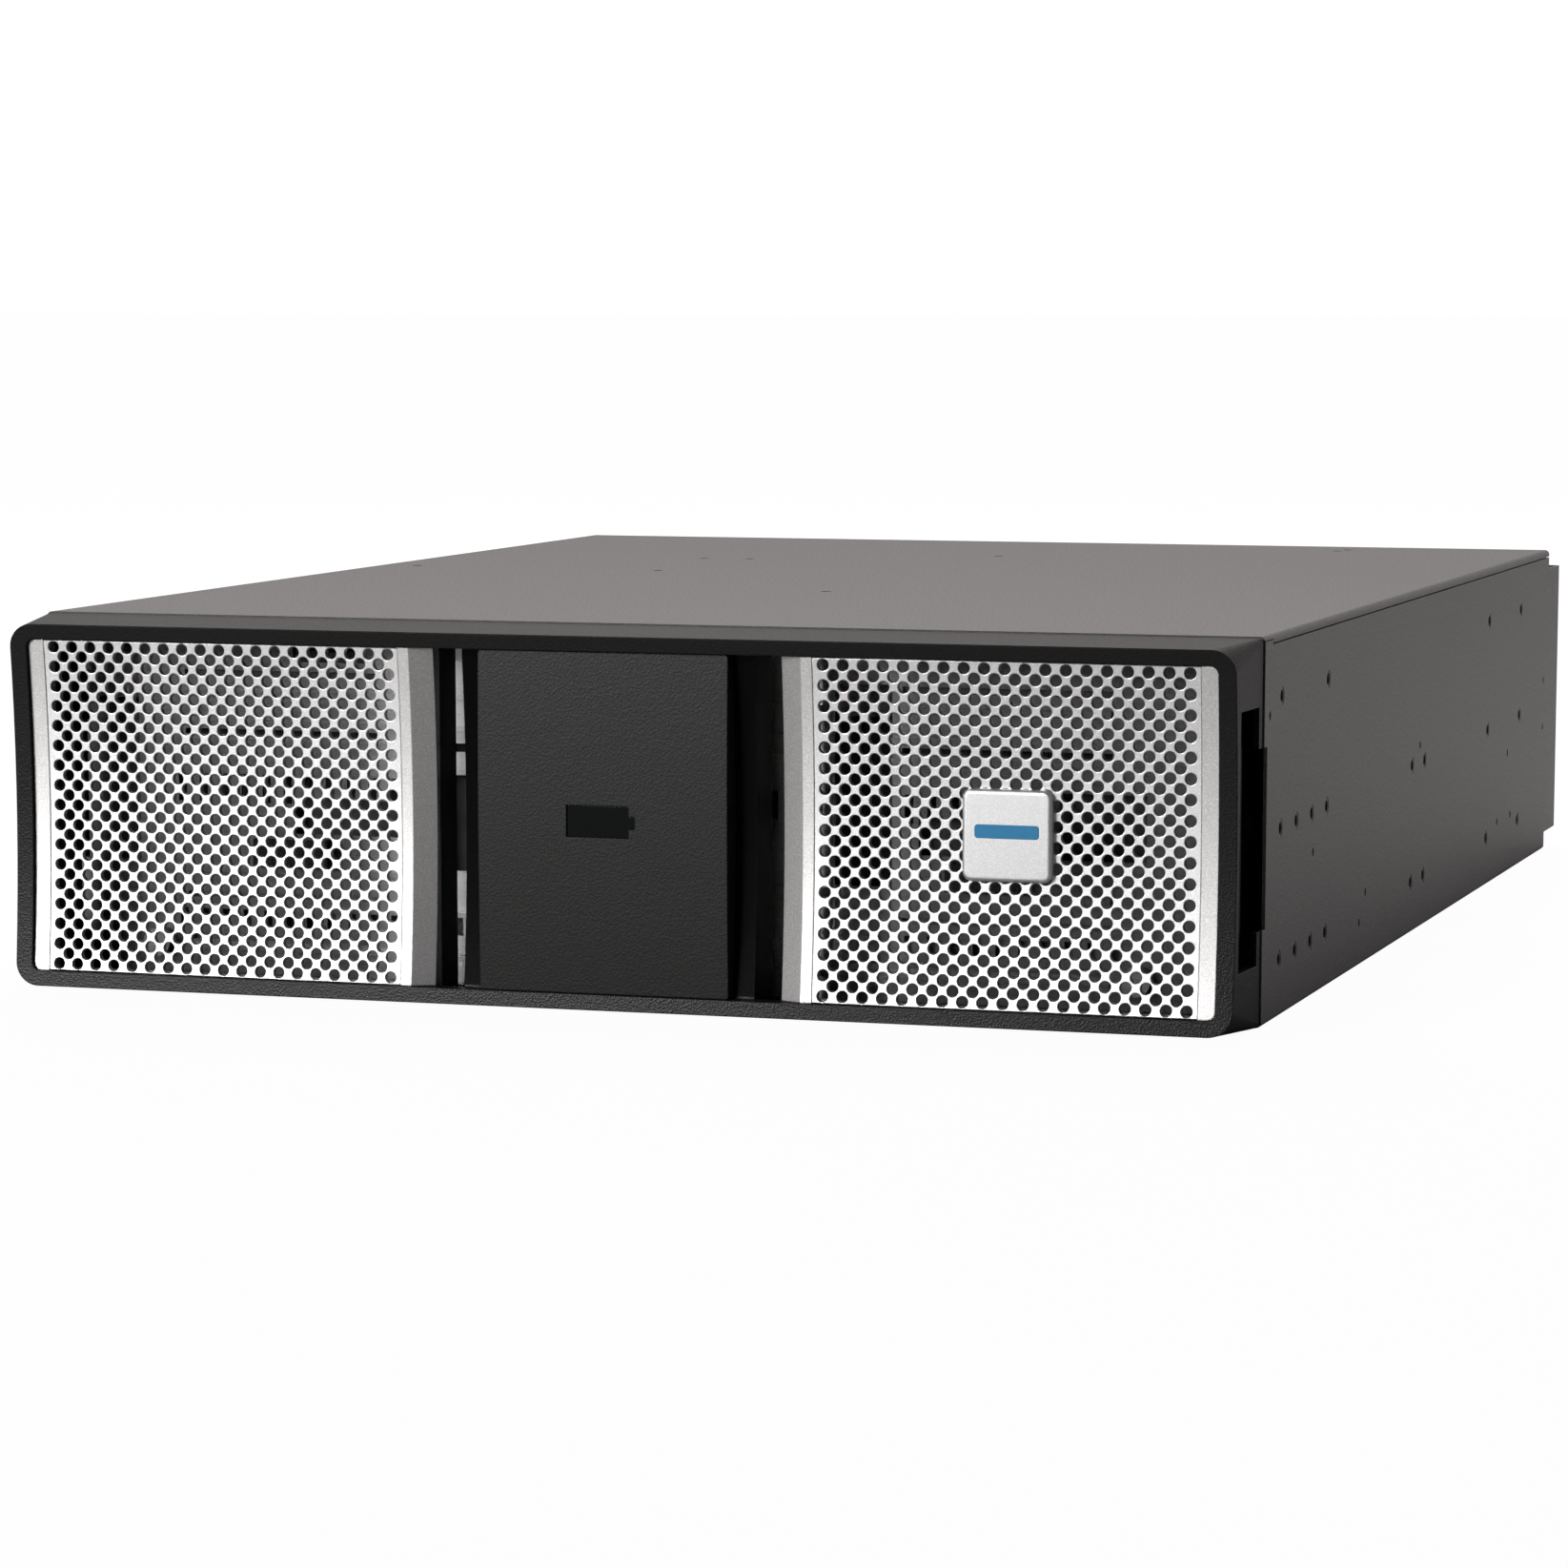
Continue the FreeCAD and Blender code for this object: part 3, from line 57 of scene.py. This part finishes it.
# ---------------------------------------------------------------------------------------------
# Materials: each is a principled shader whose colour, roughness and bump come from noise.
# ---------------------------------------------------------------------------------------------
class Surface:
    """A node material under construction. Textures are placed in metres, in the object's own frame."""

    def __init__(self, name, color, roughness=0.5, metallic=0.0, specular=0.5):
        self.material = bpy.data.materials.new(name)
        self.material.use_nodes = True
        self.tree = self.material.node_tree
        self.shader = self.tree.nodes["Principled BSDF"]
        self.place = self.tree.nodes.new("ShaderNodeTexCoord").outputs["Object"]
        self.color = self.rgb(color)
        self.roughness = roughness
        self.normal = None
        self.set("Base Color", self.color)
        self.set("Roughness", roughness)
        self.set("Metallic", metallic)
        self.set("Specular IOR Level", specular)

    def rgb(self, color):
        node = self.tree.nodes.new("ShaderNodeRGB")
        node.outputs[0].default_value = (*color, 1)
        return node.outputs[0]

    def feed(self, socket, source):
        """Feeds a socket from another node's output or with a plain value."""
        if isinstance(source, bpy.types.NodeSocket):
            self.tree.links.new(source, socket)
        else:
            socket.default_value = source

    def set(self, name, source):
        self.feed(self.shader.inputs[name], source)

    def node(self, kind, output, settings, *inputs):
        """Adds a node, feeds its sockets as (name or number, source) pairs, returns one output."""
        made = self.tree.nodes.new(kind)
        for key, setting in settings.items():
            setattr(made, key, setting)
        for socket, source in inputs:
            self.feed(made.inputs[socket], source)
        return made.outputs[output]

    def math(self, operation, first, second=0.0):
        return self.node("ShaderNodeMath", 0, {"operation": operation}, (0, first), (1, second))

    def stretched(self, *scale):
        """The texture place scaled along the three axes."""
        return self.node("ShaderNodeMapping", 0, {}, ("Vector", self.place), ("Scale", scale))

    def noise(self, scale, detail=2.0, place=None):
        inputs = (("Vector", place or self.place), ("Scale", scale), ("Detail", detail))
        return self.node("ShaderNodeTexNoise", 0, {}, *inputs)

    def cells(self, scale, place=None):
        return self.node("ShaderNodeTexVoronoi", 0, {}, ("Vector", place or self.place), ("Scale", scale))

    def ranged(self, source, low, high, start=0.3, end=0.7):
        """Maps source from start..end to low..high, clamped."""
        bounds = zip(("From Min", "From Max", "To Min", "To Max"), (start, end, low, high))
        return self.node("ShaderNodeMapRange", 0, {}, ("Value", source), *bounds)

    def blended(self, amount, first, second):
        """A colour between two colours or outputs."""
        inputs = (("Factor", amount), (6, first), (7, second))
        return self.node("ShaderNodeMix", 2, {"data_type": "RGBA"}, *inputs)

    def tint(self, amount, color):
        """Mixes another colour into the base colour by an amount."""
        self.color = self.blended(amount, self.color, self.rgb(color))
        self.set("Base Color", self.color)

    def vary_roughness(self, scale, low, high, place=None):
        self.roughness = self.ranged(self.noise(scale, 2, place), low, high)
        self.set("Roughness", self.roughness)

    def bump(self, height, distance, strength=1.0):
        inputs = [("Strength", strength), ("Distance", distance), ("Height", height)]
        if self.normal:
            inputs.append(("Normal", self.normal))
        self.normal = self.node("ShaderNodeBump", 0, {}, *inputs)
        self.set("Normal", self.normal)

    def rounded_edges(self, radius):
        """Lets light catch on edges as if they were rounded; bumps added later sit on top."""
        self.normal = self.node("ShaderNodeBevel", 0, {"samples": 4}, ("Radius", radius))
        self.set("Normal", self.normal)

    def within(self, axis, middle, half, soft=0.4 * MM):
        """1 where the place's coordinate lies within half of middle, 0 outside, with a soft border."""
        coordinate = self.node("ShaderNodeSeparateXYZ", axis, {}, (0, self.place))
        away = self.math("ABSOLUTE", self.math("SUBTRACT", coordinate, middle))
        return self.ranged(away, 1.0, 0.0, half, half + soft)


def powder_coat(name, color, light):
    """Textured black powder coat on folded steel: fine orange peel and a slightly cloudy sheen."""
    coat = Surface(name, color, specular=0.45)
    coat.rounded_edges(0.5 * MM)
    coat.tint(coat.ranged(coat.noise(5, 3), 0.0, 0.12), light)
    coat.tint(coat.ranged(coat.noise(1700, 1), 0.0, 0.8, 0.45, 0.75), light)
    coat.vary_roughness(900, 0.44, 0.56)
    coat.bump(coat.noise(1300, 2), 0.14 * MM, 0.8)
    coat.bump(coat.noise(420, 2), 0.05 * MM, 0.3)
    return coat


def leather_plastic(name, color, light, grain, depth, low, high, specular):
    """Moulded plastic with a leather grain: rounded cells with fine valleys between them."""
    plastic = Surface(name, color, specular=specular)
    plastic.rounded_edges(0.6 * MM)
    plastic.tint(plastic.ranged(plastic.cells(grain), 0.0, 0.8, 0.1, 0.6), light)
    plastic.vary_roughness(grain, low, high)
    plastic.bump(plastic.cells(grain), depth, 0.75)
    plastic.bump(plastic.noise(grain * 1.7, 2), depth * 0.6, 0.5)
    return plastic


def bezel_plastic():
    """Grained black plastic, duller on its sides than in front, polished in the recess round the cover,
    where its colour is also darkened as painted shade.
    """
    plastic = leather_plastic("bezel_grain_shaded_recess", (0.004, 0.004, 0.004), (0.008, 0.0078, 0.0076), 1500,
                              0.08 * MM, 0.28, 0.36, 0.16)
    across = plastic.within("X", 0, RECESS_HALF_WIDTH)
    upwards = plastic.within("Z", FACE_MIDDLE, RECESS_HALF_HEIGHT)
    recess = plastic.math("MULTIPLY", across, upwards)
    # painted shade: the recess round the cover is tinted darker
    plastic.tint(recess, (0.0012, 0.0012, 0.0012))
    smooth = plastic.node("ShaderNodeNewGeometry", "Normal", {})
    facing = plastic.math("ABSOLUTE", plastic.node("ShaderNodeSeparateXYZ", "Y", {}, (0, smooth)))
    side = plastic.ranged(facing, 1.0, 0.0, 0.8, 0.95)
    polished = plastic.math("MULTIPLY", plastic.roughness, plastic.ranged(recess, 1.0, 0.6, 0, 1))
    plastic.set("Roughness", plastic.math("ADD", polished, plastic.math("MULTIPLY", side, 0.14)))
    shine = plastic.ranged(recess, 0.16, 0.07, 0, 1)
    plastic.set("Specular IOR Level", plastic.math("MULTIPLY", shine, plastic.ranged(side, 1.0, 0.5, 0, 1)))
    normals = ((0, recess), (4, plastic.normal), (5, smooth))
    plastic.set("Normal", plastic.node("ShaderNodeMix", 1, {"data_type": "VECTOR"}, *normals))
    return plastic


def silver_paint(name, color, fleck, low, high, edge=0.6):
    """Silver lacquer with fine metal flakes."""
    paint = Surface(name, color, metallic=0.92)
    paint.rounded_edges(edge * MM)
    paint.tint(paint.ranged(paint.noise(2300, 1), 0.0, 0.8, 0.4, 0.75), fleck)
    paint.vary_roughness(2600, low, high)
    paint.bump(paint.noise(1700, 2), 0.04 * MM, 0.6)
    return paint


def plated(name, color, scale=1.0):
    """Zinc-plated sheet with rolling streaks along its length and cloudy spangle."""
    metal = Surface(name, color, metallic=0.9)
    metal.rounded_edges(0.3 * MM)
    streaks = metal.stretched(6, 60, 300)
    metal.tint(metal.ranged(metal.noise(3 * scale, 3, streaks), 0.0, 0.5), [0.7 * c for c in color])
    spangle = metal.ranged(metal.cells(90 * scale), 0.0, 0.2, 0.1, 0.6)
    metal.tint(spangle, [min(1, 1.25 * c) for c in color])
    metal.vary_roughness(30, 0.26, 0.42, streaks)
    metal.bump(metal.noise(8, 4, streaks), 0.03 * MM, 0.4)
    return metal


def zinc_with_painted_light_and_shade():
    """Zinc plate with painted shade and painted light: its base colour is darkened for the shade behind the
    grilles, and its middle flanges, which lie open beside the centre cover, are tinted bright as painted
    light.
    """
    # painted shade: the base colour is kept dark for the shade behind the grilles
    zinc = plated("zinc_sheet_painted_light", (0.13, 0.13, 0.132))
    # painted light: the plates' middle, open beside the centre cover, is tinted bright
    zinc.tint(zinc.within("X", 0, PAINTED_LIGHT_EDGE, PAINTED_LIGHT_FADE), (0.75, 0.75, 0.75))
    return zinc


def moulded(name, color, low=0.35, high=0.5, grain=900):
    """Plain moulded plastic with a fine spark-eroded texture and slight colour drift."""
    plastic = Surface(name, color, specular=0.45)
    plastic.rounded_edges(0.4 * MM)
    drift = plastic.ranged(plastic.noise(25, 3), 0.0, 0.4)
    plastic.tint(drift, [min(1, 1.35 * c + 0.004) for c in color])
    plastic.vary_roughness(120, low, high)
    plastic.bump(plastic.noise(grain, 3), 0.05 * MM, 0.6)
    return plastic


def webbing(name, color):
    """Woven strap: two crossed sets of threads."""
    strap = Surface(name, color, 0.8, specular=0.2)
    threads = [
        strap.node(
            "ShaderNodeTexWave", 0, {"bands_direction": axis}, ("Vector", strap.place), ("Scale", 280.0)
        )
        for axis in "XZ"
    ]
    weave = strap.math("MULTIPLY", *threads)
    strap.tint(weave, [3 * c for c in color])
    strap.bump(weave, 0.3 * MM, 0.8)
    return strap


def clear_film():
    """Clear plastic film with faint ripples."""
    clear = Surface("film", (0.6, 0.62, 0.65), specular=0.12)
    clear.set("Alpha", 0.12)
    clear.vary_roughness(20, 0.3, 0.42)
    clear.bump(clear.noise(35, 2), 0.4 * MM, 0.3)
    return clear


def window_gloss():
    """Deep black gloss plastic with the faintest ripple."""
    gloss = Surface("gloss_lens", (0.0006, 0.0014, 0.0014), specular=0.2)
    gloss.rounded_edges(0.3 * MM)
    gloss.tint(gloss.noise(200, 2), (0.001, 0.0025, 0.0025))
    gloss.vary_roughness(300, 0.05, 0.12)
    gloss.bump(gloss.noise(60, 2), 0.02 * MM, 0.3)
    return gloss


SURFACES = {
    "painted_steel": powder_coat("powder_coat", (0.022, 0.022, 0.022), (0.05, 0.0495, 0.049)),
    "fastener_black": powder_coat("black_zinc", (0.03, 0.03, 0.03), (0.09, 0.09, 0.09)),
    "bezel_plastic": bezel_plastic(),
    "cover_plastic": leather_plastic("cover_grain", (0.0068, 0.0066, 0.0064), (0.0136, 0.0132, 0.0128),
                                     1150, 0.075 * MM, 0.42, 0.5, 0.2),
    "silver_plastic": silver_paint("silver_lacquer", (0.51, 0.5, 0.498), (0.76, 0.755, 0.75), 0.34, 0.44),
    "silver_mesh": silver_paint("silver_grille", (0.62, 0.615, 0.615), (0.86, 0.86, 0.86), 0.34, 0.44, 0.3),
    "badge_metal": silver_paint("badge_satin", (0.53, 0.53, 0.53), (0.7, 0.7, 0.7), 0.38, 0.46, 0.9),
    "window_gloss": window_gloss(),
    "plated_steel": zinc_with_painted_light_and_shade(),
    "steel_pin": plated("bright_steel", (0.26, 0.26, 0.265), 3.0),
    "silvered_copper": plated("silvered_contact", (0.72, 0.68, 0.6), 4.0),
    "connector_grey": moulded("housing_grey", (0.30, 0.31, 0.32)),
    "connector_blue": moulded("housing_blue", (0.0, 0.16, 0.34)),
    "connector_black": moulded("housing_black", (0.012, 0.012, 0.013)),
    "breaker_plastic": moulded("breaker_case", (0.06, 0.06, 0.062)),
    "handle_plastic": moulded("breaker_toggle", (0.012, 0.012, 0.012), 0.25, 0.4),
    "circuit_board": moulded("solder_mask", (0.01, 0.12, 0.05), 0.25, 0.4, 300),
    "fuse_ceramic": moulded("glazed_ceramic", (0.7, 0.68, 0.62), 0.2, 0.35, 500),
    "cable_red": moulded("red_jacket", (0.42, 0.015, 0.012), 0.35, 0.5, 300),
    "cable_black": moulded("black_jacket", (0.012, 0.012, 0.012), 0.4, 0.55, 300),
    "battery_plastic": moulded("battery_case", (0.014, 0.014, 0.015), 0.4, 0.6, 500),
    "battery_lid_plastic": moulded("battery_lid", (0.012, 0.012, 0.013), 0.35, 0.5, 500),
    "lead_packs": plated("lead", (0.2, 0.2, 0.22), 2.0),
    "clear_film": clear_film(),
    "webbing": webbing("strap", (0.016, 0.016, 0.016)),
}

for part in frame["record"]["subparts"]:
    node = frame["nodes"][part["node"]]
    node.data.materials.clear()
    node.data.materials.append(SURFACES[part["material_slot"]].material)


# ---------------------------------------------------------------------------------------------
# Added pieces.
# ---------------------------------------------------------------------------------------------
def add_piece(name, mesh, body, slot, *nodes):
    """Puts a finished mesh on a body, in a slot's material, standing for the named CAD nodes if any."""
    mesh.name = name
    piece = bpy.data.objects.new(name, mesh)
    bpy.context.collection.objects.link(piece)
    mesh.materials.clear()
    mesh.materials.append(SURFACES[slot].material)
    if nodes:
        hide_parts(*nodes)
    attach(piece, body)
    return piece


def closed_spline(curve, points):
    spline = curve.splines.new("POLY")
    spline.points.add(len(points) - 1)
    for target, (u, v) in zip(spline.points, points):
        target.co = (u, v, 0, 1)
    spline.use_cyclic_u = True


def filled_sheet(outlines, thickness, edge):
    """A flat sheet in its own plane from closed outlines, the inner ones holes, with rounded edges."""
    curve = bpy.data.curves.new("outlines", "CURVE")
    curve.dimensions = "2D"
    curve.fill_mode = "BOTH"
    curve.bevel_depth = edge
    curve.bevel_resolution = 1
    curve.offset = -edge
    curve.extrude = thickness / 2 - edge
    for outline in outlines:
        closed_spline(curve, outline)
    flat = bpy.data.objects.new("flat", curve)
    bpy.context.collection.objects.link(flat)
    mesh = bpy.data.meshes.new_from_object(flat.evaluated_get(bpy.context.evaluated_depsgraph_get()))
    bpy.data.objects.remove(flat)
    return mesh


def ring(u, v, radius, steps=24):
    turns = [2 * math.pi * step / steps for step in range(steps)]
    return [(u + radius * math.cos(turn), v + radius * math.sin(turn)) for turn in turns]


def rounded_outline(left, right, low, high, radius, steps=6):
    """A rectangle's outline with rounded corners, anticlockwise."""
    points = []
    corners = ((right, high, 0), (left, high, 1), (left, low, 2), (right, low, 3))
    for u, v, quarter in corners:
        centre_u = u - radius if u == right else u + radius
        centre_v = v - radius if v == high else v + radius
        for step in range(steps + 1):
            turn = (quarter + step / steps) * math.pi / 2
            points.append((centre_u + radius * math.cos(turn), centre_v + radius * math.sin(turn)))
    return points


PITCH = 6.93 * MM  # perforations along a row, and across two rows
HOLE = 2.0 * MM  # radius of a perforation
ROWS = 33
FACE_HOLLOW = 4.0 * MM  # how far the face's middle is set back
FACE_HEIGHT = 126.8 * MM
FACE_RADIUS = (FACE_HEIGHT**2 / 4 + FACE_HOLLOW**2) / (2 * FACE_HOLLOW)
FACE_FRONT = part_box("bezel_frame")[0][1]
PANEL = 2.4 * MM  # thickness of a perforated panel
PANEL_SETBACK = 1.6 * MM  # its face behind the rim's surface
PANEL_PLAY = 0.27 * MM  # how far it reaches under the surround


def hollow_y(height, behind):
    """Depth of the hollow face at a height, for a surface some way behind the rim."""
    rise = height - FACE_MIDDLE
    return FACE_FRONT + FACE_HOLLOW - FACE_RADIUS + math.sqrt((FACE_RADIUS + behind) ** 2 - rise**2)


def grille_panel(side):
    """A perforated panel made flat and then bent to the hollow of the face."""
    node = f"grille_mesh_{side}"
    low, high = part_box(node)
    left, right, bottom, top = low[0], high[0], low[2], high[2]
    rise = [bottom + (top - bottom) * k / (ROWS + 1) for k in range(ROWS + 2)]
    outlines = [[(right + PANEL_PLAY, z) for z in rise] + [(left - PANEL_PLAY, z) for z in reversed(rise)]]
    per_row = round((right - left) / PITCH)
    for row in range(ROWS):
        count = per_row - row % 2
        level = (bottom + top) / 2 + (row - (ROWS - 1) / 2) * PITCH / 2
        for k in range(count):
            outlines.append(ring((left + right) / 2 + (k - (count - 1) / 2) * PITCH, level, HOLE))
    mesh = filled_sheet(outlines, PANEL, 0.2 * MM)
    for vertex in mesh.vertices:
        x, z, depth = vertex.co
        vertex.co = (x, hollow_y(z, PANEL_SETBACK) + PANEL / 2 - depth, z)
    add_piece(f"punched_panel_{side}", mesh, "front_bezel", "silver_mesh", node)


def badge_stripe():
    """A plain blue stripe printed on the badge, a little above its middle."""
    low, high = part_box("badge_plate")
    middle_x, middle_z = (low[0] + high[0]) / 2, (low[2] + high[2]) / 2 + 1.4 * MM
    half_length, half_height, corner = 11 * MM, 2.3 * MM, 1.1 * MM
    outline = rounded_outline(-half_length, half_length, -half_height, half_height, corner)
    mesh = filled_sheet([outline], 0.14 * MM, 0.03 * MM)
    for vertex in mesh.vertices:
        x, z, depth = vertex.co
        vertex.co = (middle_x + x, low[1] - 0.02 * MM - depth, middle_z + z)
    add_piece("badge_stripe", mesh, "front_bezel", "connector_blue")


for side in ("left", "right"):
    grille_panel(side)
badge_stripe()


# ---------------------------------------------------------------------------------------------
# Stage: pale floor, soft light, and the camera.
# ---------------------------------------------------------------------------------------------
DIM_SIDE = 0.03  # strength of the surroundings on the camera's side
BRIGHT_SIDE = 0.9  # and behind the object


def surroundings():
    """A white studio: pure white to the eye, lit from behind the object and dim on the camera's side."""
    world = bpy.data.worlds.new("studio")
    bpy.context.scene.world = world
    world.use_nodes = True
    tree = world.node_tree
    nodes, link = tree.nodes, tree.links.new
    background = nodes["Background"]
    direction = nodes.new("ShaderNodeSeparateXYZ")
    link(nodes.new("ShaderNodeTexCoord").outputs["Generated"], direction.inputs[0])
    glow = nodes.new("ShaderNodeMapRange")
    glow.interpolation_type = "SMOOTHSTEP"
    bounds = zip(("From Min", "From Max", "To Min", "To Max"), (-0.5, 0.8, DIM_SIDE, BRIGHT_SIDE))
    for name, number in bounds:
        glow.inputs[name].default_value = number
    link(direction.outputs["Y"], glow.inputs["Value"])
    seen = nodes.new("ShaderNodeLightPath").outputs["Is Camera Ray"]
    strength = nodes.new("ShaderNodeMix")
    link(seen, strength.inputs[0])
    link(glow.outputs["Result"], strength.inputs[2])
    strength.inputs[3].default_value = 1.0
    link(strength.outputs[0], background.inputs["Strength"])
    hue = nodes.new("ShaderNodeMix")
    hue.data_type = "RGBA"
    link(seen, hue.inputs[0])
    hue.inputs[6].default_value = (1, 0.96, 0.952, 1)
    hue.inputs[7].default_value = (1, 1, 1, 1)
    link(hue.outputs[2], background.inputs["Color"])


def floor():
    """A wide pale floor. The camera sees it almost white, and it bounces little light to the front."""
    mesh = bpy.data.meshes.new("floor")
    reach = 30  # metres, beyond the picture's edges
    corners = [(-reach, -reach, 0), (reach, -reach, 0), (reach, reach, 0), (-reach, reach, 0)]
    mesh.from_pydata(corners, [], [(0, 1, 2, 3)])
    plane = bpy.data.objects.new("floor", mesh)
    bpy.context.collection.objects.link(plane)
    paper = Surface("paper", (0.22, 0.22, 0.22), 0.9, specular=0.1)
    depth = paper.node("ShaderNodeSeparateXYZ", "Y", {}, (0, paper.place))
    paper.tint(paper.ranged(depth, 0.0, 1.0, -0.4, 0.5), (0.75, 0.75, 0.75))
    paper.tint(paper.ranged(paper.noise(3, 2), 0.0, 0.1), (0.4, 0.4, 0.4))
    glow = paper.node("ShaderNodeEmission", 0, {}, ("Strength", 1.05))
    seen = paper.node("ShaderNodeLightPath", "Is Camera Ray", {})
    share = paper.math("MULTIPLY", seen, 0.92)
    shaded = paper.shader.outputs[0]
    mixed = paper.node("ShaderNodeMixShader", 0, {}, (0, share), (1, shaded), (2, glow))
    paper.feed(paper.tree.nodes["Material Output"].inputs["Surface"], mixed)
    mesh.materials.append(paper.material)


def softbox(name, place, target, width, height, power, color=(1, 1, 1), shiny=True):
    """A rectangular lamp aimed at a target. One that isn't shiny stays out of reflections."""
    light = bpy.data.lights.new(name, "AREA")
    light.shape = "RECTANGLE"
    light.size, light.size_y = width, height
    light.energy = power
    light.color = color
    lamp = bpy.data.objects.new(name, light)
    lamp.location = place
    lamp.rotation_euler = (Vector(target) - Vector(place)).to_track_quat("-Z", "Y").to_euler()
    lamp.visible_glossy = shiny
    bpy.context.collection.objects.link(lamp)


def camera():
    """The long lens stands right of the front and a little above, aimed along its own axis."""
    azimuth, elevation = 0.3067, 0.1387
    level = math.cos(elevation)
    forward = Vector((-math.sin(azimuth) * level, math.cos(azimuth) * level, -math.sin(elevation)))
    lens = bpy.data.cameras.new("camera")
    lens.sensor_width = 36
    lens.lens = 119.24
    lens.shift_y = 0.1382
    lens.clip_end = 100
    eye = bpy.data.objects.new("camera", lens)
    eye.rotation_euler = forward.to_track_quat("-Z", "Y").to_euler()
    eye.location = (0.58464, -1.96365, 0.24767)
    bpy.context.collection.objects.link(eye)
    bpy.context.scene.camera = eye


surroundings()
floor()
softbox("key_softbox", (-1.62, -3.34, 1.11), (0, -0.3, 0.06), 1.6, 1.2, 131)
softbox("top_softbox", (-0.45, 0.8, 2.2), (-0.1, 0, 0), 1.8, 1.8, 46, (1.0, 0.92, 0.9))
softbox("rear_softbox", (-1.4, 2.7, 0.6), (0, 0.3, 0.07), 1.2, 0.6, 42, shiny=False)
camera()
bpy.context.scene.view_settings.view_transform = "Standard"
